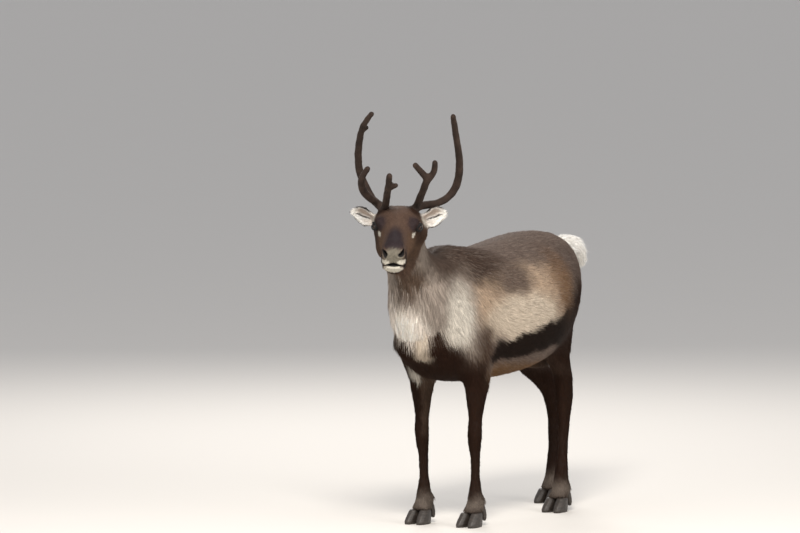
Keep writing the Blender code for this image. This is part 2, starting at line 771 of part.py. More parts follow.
def foot(leg, x, y):
    """Two claws and two dewclaws around the middle of a foot at (x, y)."""
    cannon = bpy.data.objects[leg + "_cannon"]
    for side, word in ((1, "outer"), (-1, "inner")):
        out = side * math.copysign(1, x)
        turn = Matrix.Rotation(out * CLAW_TOE_OUT, 3, "Z")
        middle = Vector((x + out * CLAW_SPREAD, y + CLAW_BACK, 0))
        place = x + out * DEWCLAW_SPREAD
        for piece in (claw(f"{leg}_hoof_{word}", middle, turn), dewclaw(f"{leg}_dewclaw_{word}", place, y)):
            piece.data.materials.append(material("hoof"))
        socket = dewclaw("socket", place, y, GAP)
        boolean(cannon, socket, "DIFFERENCE")
        bpy.data.objects.remove(socket)


def feet():
    """The hooves of all four legs."""
    for leg, rows, side in LEGS:
        foot(leg, side * rows[-2][0], rows[-2][1])


# ---------------------------------------------------------------- the whole


def colour_flesh():
    """Gives each piece of flesh its material."""
    slots = {"head": "coat_face", "jaw": "coat_face", "neck": "coat_neck", "trunk": "coat_back"}
    for obj in bpy.data.collections["reindeer"].objects:
        if not obj.data.materials:
            obj.data.materials.append(material(slots.get(obj.name, "coat_leg")))


def stand_on_origin():
    """Moves the model so that its box is centred on the origin and its soles are at z = 0."""
    objects = bpy.data.collections["reindeer"].objects
    points = [v.co for obj in objects for v in obj.data.vertices]
    low = Vector(map(min, zip(*points)))
    high = Vector(map(max, zip(*points)))
    shift = Matrix.Translation((-(low.x + high.x) / 2, -(low.y + high.y) / 2, -low.z))
    for obj in objects:
        obj.data.transform(shift)


def main():
    """Builds the whole model in the open file."""
    for obj in list(bpy.data.objects):
        bpy.data.objects.remove(obj)
    bpy.context.scene.collection.children.link(bpy.data.collections.new("reindeer"))
    lofts = [trunk_loft(), neck_loft(), head_loft()]
    lofts += [leg_loft(leg, rows, side) for leg, rows, side in LEGS]
    whole = fused(lofts + muscles())
    reduce_flesh(whole)
    head, trunk = part_flesh(whole)
    antlers(head)
    head_pieces(head)
    tail(trunk)
    feet()
    colour_flesh()
    stand_on_origin()


if __name__ == "__main__":
    main()
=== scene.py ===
"""The looks of a life-size standing reindeer in its autumn coat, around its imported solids.

One skin replaces all the flesh solids and lies inside them by the depth of the coat. The head's
lids, nostrils and mouth are shaped into it. The coat is tufts of solid mesh, each a thin tapering
lock with its root in the skin, laid along the body. Skin and coat take their markings from the
same rules. Antlers, eyes and hooves are pieces of their own. Metres, +Z up, facing -Y.
"""

import math
from collections import namedtuple

import bmesh
import bpy
import numpy as np
from mathutils import Matrix, Vector
from mathutils.bvhtree import BVHTree


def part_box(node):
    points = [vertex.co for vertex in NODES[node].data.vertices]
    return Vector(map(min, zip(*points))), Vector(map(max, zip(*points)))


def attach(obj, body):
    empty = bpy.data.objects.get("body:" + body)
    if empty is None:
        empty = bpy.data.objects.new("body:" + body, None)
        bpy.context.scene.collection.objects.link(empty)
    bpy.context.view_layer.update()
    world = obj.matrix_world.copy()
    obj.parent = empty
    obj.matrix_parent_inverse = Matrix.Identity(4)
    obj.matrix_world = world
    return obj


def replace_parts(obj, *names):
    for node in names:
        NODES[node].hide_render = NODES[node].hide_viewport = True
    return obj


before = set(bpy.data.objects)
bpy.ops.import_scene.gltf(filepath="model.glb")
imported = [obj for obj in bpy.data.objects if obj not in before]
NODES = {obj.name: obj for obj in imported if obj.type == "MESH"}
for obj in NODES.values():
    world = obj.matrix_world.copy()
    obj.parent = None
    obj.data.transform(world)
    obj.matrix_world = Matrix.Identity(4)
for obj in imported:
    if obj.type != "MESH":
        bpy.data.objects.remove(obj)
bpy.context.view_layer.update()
RANDOM = np.random.default_rng(11)

# ---------------- landmarks from the frame

LEGS = ("foreleg_left", "foreleg_right", "hindleg_left", "hindleg_right")
HOOF_WORDS = ("hoof_inner", "hoof_outer", "dewclaw_inner", "dewclaw_outer")
ANTLERS = {
    "antler_left": ("antler_left_beam", "antler_left_bez_tine"),
    "antler_right": ("antler_right_beam", "antler_right_brow_tine", "antler_right_bez_tine"),
}
HOOVES = {leg: tuple(f"{leg}_{word}" for word in HOOF_WORDS) for leg in LEGS}
SEPARATE = {name for names in (*ANTLERS.values(), *HOOVES.values()) for name in names}
FLESH = sorted(name for name in NODES if name not in SEPARATE and not name.startswith("eye"))
DEWCLAWS = [name for names in HOOVES.values() for name in names if "dewclaw" in name]
SKIN_NODES = [*FLESH, *DEWCLAWS, "eye_left", "eye_right"]  # what the skin closes over

HEAD_TURN = math.radians(27.5)  # to the animal's left
HEAD_DROP = math.radians(16)  # nose below level
HEAD_ROLL = math.radians(1.5)
FORE_SOLE = 0.0344  # how far the middles of the fore hooves stand ahead of the withers
FETLOCK_RISE = (0, 0, 0.022)  # from the middle of a dewclaw to the fetlock's hair


def middle_of(node):
    low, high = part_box(node)
    return np.array((low + high) / 2)


def head_axes():
    """Rows: the head's forward, left and up directions."""
    turn = Matrix.Rotation(HEAD_TURN, 3, "Z")
    drop = Matrix.Rotation(HEAD_DROP, 3, "X")
    roll = Matrix.Rotation(HEAD_ROLL, 3, "Y")
    return np.array((turn @ drop @ roll @ Matrix(((0, 1, 0), (-1, 0, 0), (0, 0, 1)))).transposed())


HEAD_AXES = head_axes()
EYES = (middle_of("eye_left") + middle_of("eye_right")) / 2
EYE_SIDE = float(np.linalg.norm(middle_of("eye_left") - middle_of("eye_right"))) / 2
EYE_RADIUS = float(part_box("eye_left")[1].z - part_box("eye_left")[0].z) / 2
FETLOCKS = [middle_of(name) + FETLOCK_RISE for name in DEWCLAWS]
FORE_FEET = (middle_of("foreleg_left_hoof_outer") + middle_of("foreleg_right_hoof_outer")) / 2
WITHERS = np.array((FORE_FEET[0], FORE_FEET[1] + FORE_SOLE, 0.0))  # the floor below them


def to_head(points):
    """Forward, left and up of the point midway between the eyes."""
    return (points - EYES) @ HEAD_AXES.T


def from_head(places):
    return EYES + np.asarray(places) @ HEAD_AXES


def to_body(points):
    """Left, back along the body and up from the floor below the withers."""
    return points - WITHERS


# ---------------- small tools


def smoothstep(low, high, x):
    """0 at low and 1 at high, whichever of the two is the larger, with soft ends."""
    t = np.clip((x - low) / (high - low), 0, 1)
    return t * t * (3 - 2 * t)


def bell(x, width):
    """1 at 0, falling away to both sides within about twice that width."""
    return np.exp(-((x / width) ** 2))


def column(values):
    return values[:, None]


def lengths(vectors):
    return np.linalg.norm(vectors, axis=1)


def dots(a, b):
    """Each pair's dot product, as a column."""
    return column((a * b).sum(1))


def unit(vectors):
    vectors = np.asarray(vectors, float)
    return vectors / np.maximum(np.linalg.norm(vectors, axis=-1, keepdims=True), 1e-9)


def waves(points, size, seed, count=7):
    """Smooth noise between about -1 and 1 with features of that size."""
    draw = np.random.default_rng(seed)
    turns = unit(draw.normal(size=(count, 3))) * draw.uniform(0.6, 1.6, (count, 1)) * 2 * np.pi / size
    phases = draw.uniform(0, 2 * np.pi, count)
    return np.sin(points @ turns.T + phases).sum(1) / math.sqrt(count)


def wander(points, far, size, seeds):
    """Sideways moves of about so far, in waves of that size, one seed for each axis."""
    return far * np.stack([waves(points, size, seed) for seed in seeds], 1)


def read(items, name, width, kind=float):
    """One attribute of all these items, as an array of that width."""
    values = np.empty(len(items) * width, kind)
    items.foreach_get(name, values)
    return values.reshape(-1, width) if width > 1 else values


def points_of(mesh):
    return read(mesh.vertices, "co", 3)


def normals_of(mesh):
    return read(mesh.vertices, "normal", 3)


def neighbours(mesh):
    """Each point's neighbours in one list, with where each point's own begin and how many it has."""
    a, b = read(mesh.edges, "vertices", 2, np.int64).T
    start, end = np.concatenate((a, b)), np.concatenate((b, a))
    order = np.argsort(start, kind="stable")
    count = np.bincount(start, minlength=len(mesh.vertices))
    return end[order], np.concatenate(((0,), np.cumsum(count)[:-1])), count


def spread(values, links, rounds, share=0.5):
    """The values blended over the mesh, each with its neighbours' mean."""
    ends, first, count = links
    for _ in range(rounds):
        mean = np.add.reduceat(values[ends], first, axis=0) / column(count)
        values = values + (mean - values) * share
    return values


def flat(values, kind=np.float32):
    return np.ascontiguousarray(values, kind).ravel()


def set_points(mesh, points):
    mesh.vertices.foreach_set("co", flat(points))
    mesh.update()


def linked(name, data):
    """A new object in the scene."""
    made = bpy.data.objects.new(name, data)
    bpy.context.scene.collection.objects.link(made)
    return made


def made_mesh(name, work):
    """The bmesh as a mesh of that name."""
    mesh = bpy.data.meshes.new(name)
    work.to_mesh(mesh)
    work.free()
    return mesh


def dress(mesh, stuff):
    """Smooth shading and one material all over the mesh."""
    mesh.polygons.foreach_set("use_smooth", np.ones(len(mesh.polygons), bool))
    mesh.materials.clear()
    mesh.materials.append(stuff)


def piece(name, mesh):
    """A visible object that rides with the animal's one body."""
    made = linked(name, mesh)
    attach(made, "root")
    return made


def evaluated(obj):
    """The object's mesh with its modifiers, and the object removed."""
    graph = bpy.context.evaluated_depsgraph_get()
    made = bpy.data.meshes.new_from_object(obj.evaluated_get(graph))
    bpy.data.objects.remove(obj)
    return made


def fused(names, puff, voxel, plugs=()):
    """One closed mesh round these nodes, grown so that the cuts between them close."""
    whole = bmesh.new()
    for name in names:
        whole.from_mesh(NODES[name].data)
    bmesh.ops.remove_doubles(whole, verts=whole.verts, dist=1e-5)
    whole.normal_update()
    for vertex in whole.verts:
        vertex.co += vertex.normal * puff
    for place, radius in plugs:
        bmesh.ops.create_icosphere(whole, subdivisions=3, radius=radius, matrix=Matrix.Translation(place))
    obj = linked("whole", made_mesh("whole", whole))
    step = obj.modifiers.new("fuse", "REMESH")
    step.mode = "VOXEL"
    step.voxel_size = voxel
    return evaluated(obj)


# ---------------- the coat's measures

# Kind of place: (hair length, tuft width, lift in degrees, skin area per tuft, smoothing).
COAT = {
    "trunk": (0.030, 0.0023, 8, 8.9e-6, 0.50),
    "neck": (0.030, 0.0017, 9, 3.5e-6, 0.45),
    "thigh": (0.020, 0.0021, 9, 7.2e-6, 0.30),
    "shank": (0.013, 0.0019, 11, 6.6e-6, 0.12),
    "cannon": (0.010, 0.0016, 12, 6.3e-6, 0.10),
    "head": (0.0062, 0.0011, 14, 2.3e-6, 0.12),
    "jaw": (0.0062, 0.0011, 14, 2.3e-6, 0.12),
    "ear": (0.0075, 0.0010, 13, 1.6e-6, 0.06),
    "tail": (0.042, 0.0015, 12, 2.6e-6, 0.40),
    "eye": (0.0030, 0.0010, 10, 1.0, 0.05),
    "dewclaw": (0.0150, 0.0010, 20, 1.0, 0.05),
}
KINDS = list(COAT)
LENGTH, WIDTH, LIFT, AREA, SMOOTHING = (np.array(values) for values in zip(*COAT.values()))
DEPTH = LENGTH * np.sin(np.radians(LIFT))


def kind_of(name):
    for word, kind in (("forearm", "shank"), ("hock", "shank"), ("thigh", "thigh"), ("cannon", "cannon"),
                       ("dewclaw", "dewclaw"), ("ear_", "ear"), ("eye_", "eye")):
        if word in name:
            return KINDS.index(kind)
    return KINDS.index(name)


def is_kind(kinds, *names):
    return np.isin(kinds, [KINDS.index(name) for name in names])


class Kinds:
    """Says which kind of coat grows at a point, by the solid that lies nearest."""

    def __init__(self, names):
        points, faces, self.owner = [], [], []
        for name in names:
            mesh = NODES[name].data
            start = len(points)
            points += [v.co for v in mesh.vertices]
            faces += [[start + i for i in face.vertices] for face in mesh.polygons]
            self.owner += [kind_of(name)] * len(mesh.polygons)
        self.tree = BVHTree.FromPolygons(points, faces)

    def at(self, points):
        return np.array([self.owner[self.tree.find_nearest(p)[2]] for p in points])


# ---------------- features of the head

GAZE = unit((0.64, 0.76, 0.04))  # of the left eye, in the head's axes
CANTHUS_TILT = 0.16  # how much the eye's back corner stands above its front one
EYE_LONG = 0.0145  # half the length of the eye's opening
LID_ABOVE = 0.0098
LID_BELOW = 0.0086
LID_THICK = 0.0018

NOSTRIL = (0.2020, 0.0280, -0.0190)
NOSTRIL_LONG = unit((-0.45, 0.55, 0.72))
NOSTRIL_INWARD = unit((-0.86, -0.50, 0.05))
NOSTRIL_SIZE = (0.0150, 0.0080)
NOSTRIL_DEEP = 0.015

MOUTH_LEVEL = -0.0600  # at the middle of the lips
MOUTH_DROP = 0.0080  # how much lower its sides run
MOUTH_SIDE = 0.038
MOUTH_CORNER = 0.118  # how far forward of the eyes the corners lie
LIPS_FRONT = 0.165

# Each ear's root, tip and breadth, by its side.
EARS = {
    1: ((-0.082, 0.074, -0.008), (-0.138, 0.162, -0.001), 1.14),
    -1: ((-0.082, 0.074, -0.012), (-0.138, 0.168, -0.006), 1.0),
}
# Shares of an ear's length, and its half width there for a breadth of 1.
EAR_HALF = ((0.0, 0.2, 0.45, 0.7, 0.88, 1.0), (0.0145, 0.0228, 0.0326, 0.0301, 0.0186, 0.0047))
PEDICLE = np.array((-0.076, 0.047, 0.020))
PEDICLE_RADIUS = 0.023


def mirrored(vector, side):
    """The vector in the head's axes for its left (side 1) or its right (side -1)."""
    return np.asarray(vector) * (1, side, 1)


def eye_axes(side):
    """The eye's own axes: back along its opening, up and out along its gaze."""
    gaze = mirrored(GAZE, side)
    back = unit(np.cross((CANTHUS_TILT * 0.5, side * -CANTHUS_TILT, 1.0), gaze)) * side
    return back, unit(np.cross(gaze, back)) * side, gaze


def eye_field(head, side):
    """How far points lie inside the lids' edge (below 0 on the lids), from the eye's centre, along its
    gaze and above its middle."""
    back, up, gaze = eye_axes(side)
    offset = head - (0, side * EYE_SIDE, 0)
    u, v, w = offset @ back, offset @ up, offset @ gaze
    arch = np.clip(1 - (u / EYE_LONG) ** 2, 0, 1)
    inside = np.minimum(LID_ABOVE * arch**0.7 - v, v + LID_BELOW * arch**0.85)
    inside = np.where(np.abs(u) > EYE_LONG, -np.hypot(np.abs(u) - EYE_LONG, v), inside)
    return inside, lengths(offset), w, v


def nostril_field(head, side):
    """0 at the nostril's middle and 1 at its rim."""
    offset = head - mirrored(NOSTRIL, side)
    inward, long = mirrored(NOSTRIL_INWARD, side), mirrored(NOSTRIL_LONG, side)
    long = unit(long - inward * (long @ inward))
    wide = np.cross(long, inward)
    a, b = offset @ long, offset @ wide
    b = b + side * 18.0 * a**2 * np.sign(wide[1] * side)
    taper = 1 - 0.25 * np.clip(a / NOSTRIL_SIZE[0], -1, 1)
    far = np.abs(offset @ inward) > 0.03
    return np.where(far, 9.0, np.hypot(a / NOSTRIL_SIZE[0], b / (NOSTRIL_SIZE[1] * taper)))


def mouth_field(head):
    """Height above the line of the lips, half the gap there, and how much of the mouth is here."""
    forward, left, up = head.T
    line = MOUTH_LEVEL - MOUTH_DROP * np.minimum(np.abs(left) / MOUTH_SIDE, 1) ** 2
    line = line + 0.10 * np.clip(LIPS_FRONT - forward, 0, 1)
    front = bell(left, 0.0185) * smoothstep(0.17, 0.195, forward)
    here = smoothstep(MOUTH_CORNER, MOUTH_CORNER + 0.02, forward)
    return up - line, 0.0014 + 0.0050 * front, here


def shape_lids(head):
    for side in (1, -1):
        inside, radius, along, above = eye_field(head, side)
        outward = head - (0, side * EYE_SIDE, 0)
        angle = np.degrees(np.arccos(np.clip(along / radius, -1, 1)))
        lid = EYE_RADIUS + LID_THICK - 0.012 * smoothstep(48, 95, angle)
        lid = lid + 0.0009 * bell(inside + 0.0012, 0.0016)
        lid = lid - 0.0013 * bell(inside + 0.0062, 0.0014) * smoothstep(0, 0.004, above)
        lid = lid - 0.0008 * bell(inside + 0.0058, 0.0014) * smoothstep(0, 0.004, -above)
        grown = np.maximum(radius, lid) + 0.0012 * bell(radius - lid, 0.003)
        front = smoothstep(95, 80, angle)
        wanted = radius + (grown - radius) * front * smoothstep(0.036, 0.026, radius)
        opened = smoothstep(-0.0002, 0.0014, inside) * (along > 0) * (radius < 0.035)
        wanted = wanted + (EYE_RADIUS - 0.004 - wanted) * opened
        head = head + outward * column(wanted / radius - 1)
    return head


def shape_nostrils(head):
    for side in (1, -1):
        ring = nostril_field(head, side)
        inward = mirrored(NOSTRIL_INWARD, side)
        hollow = NOSTRIL_DEEP * smoothstep(1.08, 0.45, ring)
        rim = 0.0022 * bell(ring - 1.45, 0.32)
        head = head + inward * column(hollow - rim)
    return head


def shape_mouth(head, normals):
    above, half, here = mouth_field(head)
    forward, left, up = head.T
    front = smoothstep(0.15, 0.19, forward)
    groove = (0.0030 + 0.0110 * front) * bell(above, half * 1.15) * here
    lips = 0.0016 * (bell(above - 0.008, 0.005) + 1.5 * bell(above + 0.011, 0.007)) * here * front
    philtrum = 0.0012 * bell(left, 0.0022) * front
    philtrum = philtrum * smoothstep(0.0, 0.012, above) * smoothstep(-0.01, -0.02, up)
    corner = 0.0016 * bell(forward - MOUTH_CORNER + 0.004, 0.004) * bell(above, 0.012)
    return head + normals * column(lips - groove - philtrum - corner)


def shape_folds(head, normals):
    """The tear gland's groove, and the soft folds behind the mouth and nostrils."""
    forward, left, up = head.T
    side = np.abs(left)
    along = np.clip((forward - 0.016) / 0.030, 0, 1)
    gland = np.hypot(side - (0.068 - 0.014 * along), up - (-0.010 - 0.014 * along))
    groove = 0.0016 * bell(gland, 0.0030) * (along > 0) * (along < 1)
    muzzle = 0.0012 * bell(forward - 0.168 + 0.3 * (up + 0.03), 0.004) * smoothstep(0.02, 0.035, side)
    muzzle = muzzle * smoothstep(-0.055, -0.045, up)
    cheek = 0.0025 * bell(forward - 0.075, 0.020) * bell(up + 0.055, 0.030) * smoothstep(0.03, 0.045, side)
    return head - normals * column(groove + muzzle + cheek)


# ---------------- skin

SKIN_VOXEL = 0.0042
CLOSE_CUTS = 0.0005
SMOOTH_ROUNDS = 60
BLEND_ROUNDS = 70  # over which one kind of coat's depth passes into the next
BODY_SHARE = 0.26  # of the faces kept away from the head
CORONET = 0.050  # height where the coat ends above the hooves
MANE_DEPTH = 0.012  # more than the neck's own coat
# Parts of the head, each the middle and radius of a ball and how far back it counts.
FULL_DETAIL = ((0.02, 0, -0.02), 0.26, -0.16)
FACE = ((0.08, 0, -0.05), 0.17, -0.05)
FACE_END = -0.06  # where the shaping of the face ends, behind the eyes


def flesh_mesh():
    """The flesh in one closed mesh, smoothed, and set in by the depth of the coat."""
    plugs = [(Vector(from_head(mirrored(PEDICLE, side))), PEDICLE_RADIUS) for side in (1, -1)]
    mesh = fused(SKIN_NODES, CLOSE_CUTS, SKIN_VOXEL, plugs)
    points, links = points_of(mesh), neighbours(mesh)
    kinds = Kinds(SKIN_NODES).at(points)
    share = spread(column(SMOOTHING[kinds]), links, 10)
    points = spread(points, links, SMOOTH_ROUNDS, share)
    soft = column(is_kind(kinds, "trunk", "neck", "thigh", "tail"))
    depth = spread(column(DEPTH[kinds]), links, 12)
    depth = spread(depth, links, BLEND_ROUNDS, np.where(soft, 0.5, 0.12))
    depth = depth + column(mane(points)) * MANE_DEPTH
    above_hoof = smoothstep(CORONET, CORONET + 0.02, points[:, 2])
    depth = depth * column(np.where(is_kind(kinds, "dewclaw"), 1, above_hoof))
    set_points(mesh, points)
    set_points(mesh, points - normals_of(mesh) * depth)
    return mesh


def mane(points):
    """1 in the long hair of the throat and chest, 0 away from it."""
    left, back, up = to_body(points).T
    front = smoothstep(-0.13, -0.22, back + 0.35 * (up - 0.75))
    height = smoothstep(0.58, 0.74, up) * smoothstep(0.98, 0.86, up)
    return front * height * smoothstep(0.16, 0.08, np.abs(left))


def inside_ball(head, middle, radius, rear):
    return (lengths(head - middle) < radius) & (head[:, 0] > rear)


def thin_out(mesh):
    """Drops most faces away from the head."""
    spared = inside_ball(to_head(points_of(mesh)), *FULL_DETAIL)
    obj = linked("thinning", mesh)
    group = obj.vertex_groups.new(name="thin")
    group.add(np.flatnonzero(~spared).tolist(), 1.0, "REPLACE")
    group.add(np.flatnonzero(spared).tolist(), 0.001, "REPLACE")
    step = obj.modifiers.new("thin", "DECIMATE")
    kept = spared.mean()
    step.ratio = kept + (1 - kept) * BODY_SHARE
    step.vertex_group = "thin"
    step.vertex_group_factor = 1.0
    return evaluated(obj)


def unwrap(mesh):
    """An unwrap of the skin's own shape."""
    obj = linked("unwrapping", mesh)
    bpy.context.view_layer.objects.active = obj
    obj.select_set(True)
    mesh.uv_layers.new(name="OFBake")
    bpy.ops.object.mode_set(mode="EDIT")
    bpy.ops.mesh.select_all(action="SELECT")
    bpy.ops.uv.smart_project(angle_limit=math.radians(66), island_margin=0.002)
    bpy.ops.object.mode_set(mode="OBJECT")
    bpy.data.objects.remove(obj)


def refine(mesh, wanted):
    """Quarters the faces whose middles wanted() picks out, in the head's axes."""
    work = bmesh.new()
    work.from_mesh(mesh)
    middles = np.array([face.calc_center_median() for face in work.faces])
    picked = wanted(to_head(middles))
    work.faces.ensure_lookup_table()
    edges = {edge for i in np.flatnonzero(picked) for edge in work.faces[i].edges}
    bmesh.ops.subdivide_edges(work, edges=list(edges), cuts=1, use_grid_fill=True)
    bmesh.ops.triangulate(work, faces=[face for face in work.faces if len(face.verts) > 3])
    work.to_mesh(mesh)
    work.free()


def on_face(head):
    return inside_ball(head, *FACE)


def on_detail(head):
    """Near an eye, or on the muzzle."""
    forward, left, up = head.T
    eyes = lengths(np.stack((forward, np.abs(left) - EYE_SIDE, up), 1)) < 0.034
    nose = (forward > 0.165) & (up > -0.05)
    lips = (forward > MOUTH_CORNER - 0.01) & (np.abs(mouth_field(head)[0]) < 0.012)
    return eyes | nose | lips


def on_rim(head):
    """On the edge of a lid, or in a nostril."""
    near = np.zeros(len(head), bool)
    for side in (1, -1):
        inside, radius, along, _ = eye_field(head, side)
        near |= (np.abs(inside + 0.001) < 0.004) & (radius < 0.03) & (along > 0)
        near |= nostril_field(head, side) < 1.5
    return near


def shape_head(mesh):
    """Works the lids, nostrils, mouth and folds into the face."""
    for wanted in (on_face, on_detail, on_rim):
        refine(mesh, wanted)
        points = points_of(mesh)
        share = 0.4 * column(wanted(to_head(points)))
        set_points(mesh, spread(points, neighbours(mesh), 4, share))
    for shape in (shape_folds, shape_mouth):
        head = to_head(points_of(mesh))
        normals = normals_of(mesh) @ HEAD_AXES.T
        shaped = np.where(column(head[:, 0] > FACE_END), shape(head, normals), head)
        set_points(mesh, from_head(shaped))
    head = to_head(points_of(mesh))
    shaped = np.where(column(head[:, 0] > FACE_END), shape_nostrils(shape_lids(head)), head)
    set_points(mesh, from_head(shaped))


# ---------------- markings

COLOURS = {
    "back": (0.120, 0.088, 0.072),
    "withers": (0.058, 0.038, 0.029),
    "tan": (0.375, 0.275, 0.193),
    "pale": (0.480, 0.403, 0.317),
    "grey": (0.208, 0.172, 0.143),
    "silver": (0.290, 0.243, 0.207),
    "cream": (0.490, 0.450, 0.390),
    # The chest's white, made lighter than the rump's as painted light.
    "chest": (0.920, 0.830, 0.735),
    "white": (0.800, 0.765, 0.710),
    "warm": (0.145, 0.077, 0.037),
    # Dark brown, darkened further as painted shade at the elbow.
    "shoulder": (0.062, 0.038, 0.026),
    # The belly's tan, darkened as painted shade under the body.
    "belly": (0.132, 0.070, 0.030),
    "umber": (0.018, 0.008, 0.0045),
    "black": (0.0105, 0.0060, 0.0040),
    # The throat's brown, also used as painted shadow of the jaw.
    "throat": (0.074, 0.047, 0.032),
    "forehead": (0.083, 0.051, 0.037),
    "bridge": (0.026, 0.018, 0.020),
    "cheek": (0.064, 0.037, 0.023),
    "tawny": (0.115, 0.066, 0.040),
    "muzzle": (0.168, 0.150, 0.118),
    "lip": (0.540, 0.505, 0.430),
    "ear": (0.330, 0.245, 0.190),
    "rind": (0.012, 0.010, 0.010),
}

# Soft patches laid one over the other: (colour, middle, half sizes, softness, share). The middle is
# out from the middle line, back from the withers and up from the floor, on both sides.
BODY_PATCHES = [
    ("tan", (0.20, 0.13, 0.790), (0.16, 0.33, 0.115), 0.40, 1.0),
    ("pale", (0.22, 0.155, 0.715), (0.15, 0.205, 0.085), 0.42, 1.0),
    ("tan", (0.17, -0.060, 0.790), (0.08, 0.055, 0.085), 0.50, 0.9),
    ("back", (0.00, 0.30, 0.965), (0.24, 0.52, 0.090), 0.35, 1.0),
    ("withers", (0.08, -0.03, 0.920), (0.15, 0.18, 0.080), 0.40, 1.0),
    ("withers", (0.17, 0.10, 0.855), (0.10, 0.13, 0.060), 0.50, 0.5),
    ("back", (0.19, 0.150, 0.848), (0.09, 0.080, 0.052), 0.50, 0.8),
    ("withers", (0.19, 0.150, 0.850), (0.09, 0.090, 0.050), 0.50, 0.35),
    # The underside: its tan darkened as painted shade.
    ("belly", (0.00, 0.22, 0.500), (0.20, 0.34, 0.085), 0.30, 1.0),
    # Dark brown at the elbow, partly painted shade.
    ("shoulder", (0.15, -0.045, 0.620), (0.09, 0.065, 0.080), 0.45, 1.0),
    ("warm", (0.19, 0.430, 0.790), (0.12, 0.080, 0.115), 0.65, 0.80),
    ("withers", (0.12, 0.62, 0.790), (0.13, 0.14, 0.120), 0.55, 0.35),
    ("umber", (0.14, 0.62, 0.640), (0.20, 0.23, 0.165), 0.30, 1.0),
    # Further back under the body: the belly's tan darkened as painted shade.
    ("belly", (0.00, 0.36, 0.545), (0.09, 0.12, 0.080), 0.50, 0.8),
    ("white", (0.00, 0.80, 0.800), (0.075, 0.10, 0.140), 0.30, 1.0),
]
# The black stripe along each flank: its start and end behind the withers, its middle's height at
# the start, how steeply it rises, its half height at the start and how fast that grows.
STRIPE = (0.010, 0.52, 0.594, 0.157, 0.029, 0.062)
NECK_PATCHES = [
    ("silver", (0.10, -0.22, 0.740), (0.12, 0.16, 0.130), 0.45, 0.5),
    ("cream", (0.14, -0.145, 0.735), (0.08, 0.058, 0.110), 0.45, 1.0),
    # Painted light: a paler patch on the front of the neck below the jaw.
    ("silver", (0.00, -0.34, 0.800), (0.050, 0.10, 0.085), 0.60, 0.8),
    # The white chest, with painted light on it.
    ("chest", (0.00, -0.29, 0.712), (0.056, 0.14, 0.088), 0.55, 1.0),
    ("withers", (0.02, -0.11, 0.935), (0.12, 0.16, 0.090), 0.40, 0.9),
    ("umber", (0.00, -0.22, 0.570), (0.21, 0.18, 0.080), 0.18, 1.0),
    ("umber", (0.082, -0.22, 0.635), (0.018, 0.08, 0.060), 0.35, 1.0),
]
# In the next two lists a patch's middle is a real left, so it lies on one side only.
BRISKET_PATCHES = [
    ("pale", (0.036, -0.27, 0.625), (0.024, 0.10, 0.060), 0.45, 0.78),
    # On the left only: the throat's brown with painted shadow of the jaw.
    ("throat", (0.052, -0.345, 0.868), (0.030, 0.080, 0.048), 0.50, 0.95),
    ("umber", (-0.085, -0.24, 0.580), (0.080, 0.14, 0.070), 0.30, 1.0),
]
LEG_PATCHES = [
    ("throat", (-0.078, -0.015, 0.440), (0.020, 0.035, 0.110), 0.50, 0.75),
    ("cream", (-0.113, -0.062, 0.520), (0.015, 0.030, 0.018), 0.50, 0.8),
    ("cream", (-0.099, -0.048, 0.502), (0.014, 0.030, 0.018), 0.50, 0.9),
]
HEAD_PATCHES = [
    ("cheek", (0.05, 0.07, -0.070), (0.14, 0.06, 0.070), 0.40, 1.0),
    ("umber", (-0.03, 0.080, -0.045), (0.045, 0.030, 0.030), 0.50, 0.6),
    ("tawny", (0.085, 0.050, -0.040), (0.075, 0.020, 0.040), 0.55, 0.8),
    ("bridge", (0.150, 0.00, 0.020), (0.075, 0.029, 0.040), 0.45, 1.0),
    ("bridge", (0.012, 0.057, 0.014), (0.036, 0.025, 0.026), 0.45, 0.9),
    ("umber", (-0.072, 0.052, 0.030), (0.034, 0.030, 0.026), 0.45, 0.9),
    # Under the jaw: the throat's brown, partly painted shadow of the jaw.
    ("throat", (0.00, 0.00, -0.135), (0.14, 0.07, 0.035), 0.50, 0.8),
    ("bridge", (0.185, 0.00, 0.008), (0.034, 0.046, 0.018), 0.40, 0.9),
    ("muzzle", (0.212, 0.00, -0.030), (0.030, 0.034, 0.028), 0.35, 1.0),
    ("black", (0.188, 0.046, -0.032), (0.022, 0.010, 0.030), 0.40, 0.8),
    ("lip", (0.203, 0.027, -0.0515), (0.028, 0.014, 0.0095), 0.40, 0.9),
    ("black", (0.184, 0.043, -0.072), (0.030, 0.011, 0.018), 0.40, 0.9),
    ("umber", (0.17, 0.00, -0.103), (0.06, 0.045, 0.014), 0.30, 1.0),
    ("lip", (0.205, 0.00, -0.0765), (0.034, 0.032, 0.0145), 0.22, 1.0),
    ("cream", (-0.090, 0.090, -0.008), (0.026, 0.026, 0.024), 0.50, 0.85),
    ("umber", (-0.006, 0.078, -0.006), (0.042, 0.024, 0.028), 0.45, 0.75),
    ("lip", (0.034, 0.060, -0.017), (0.015, 0.017, 0.0080), 0.40, 0.95),
]
# On an ear's inner side: along it, then up from its middle line in half widths.
EAR_PATCHES = [
    ("ear", (0.50, 0.42, 0), (0.32, 0.42, 1), 0.45, 0.85),
    ("ear", (0.06, 0.00, 0), (0.24, 1.00, 1), 0.50, 0.85),
    ("ear", (0.42, -0.55, 0), (0.14, 0.20, 1), 0.60, 0.45),
    # The dark cleft is painted shade of the ear's inner fold.
    ("umber", (0.52, -0.17, 0), (0.30, 0.085, 1), 0.50, 1.0),
    ("umber", (0.78, -0.08, 0), (0.10, 0.130, 1), 0.60, 0.9),
]


def patched(colours, places, patches):
    """The colours with each patch laid over them."""
    for name, middle, half, soft, share in patches:
        cover = share * column(smoothstep(1 + soft, 1 - soft, lengths((places - middle) / half)))
        colours = colours + (COLOURS[name] - colours) * cover
    return colours


def over(colours, name, cover):
    return colours + (COLOURS[name] - colours) * column(cover)


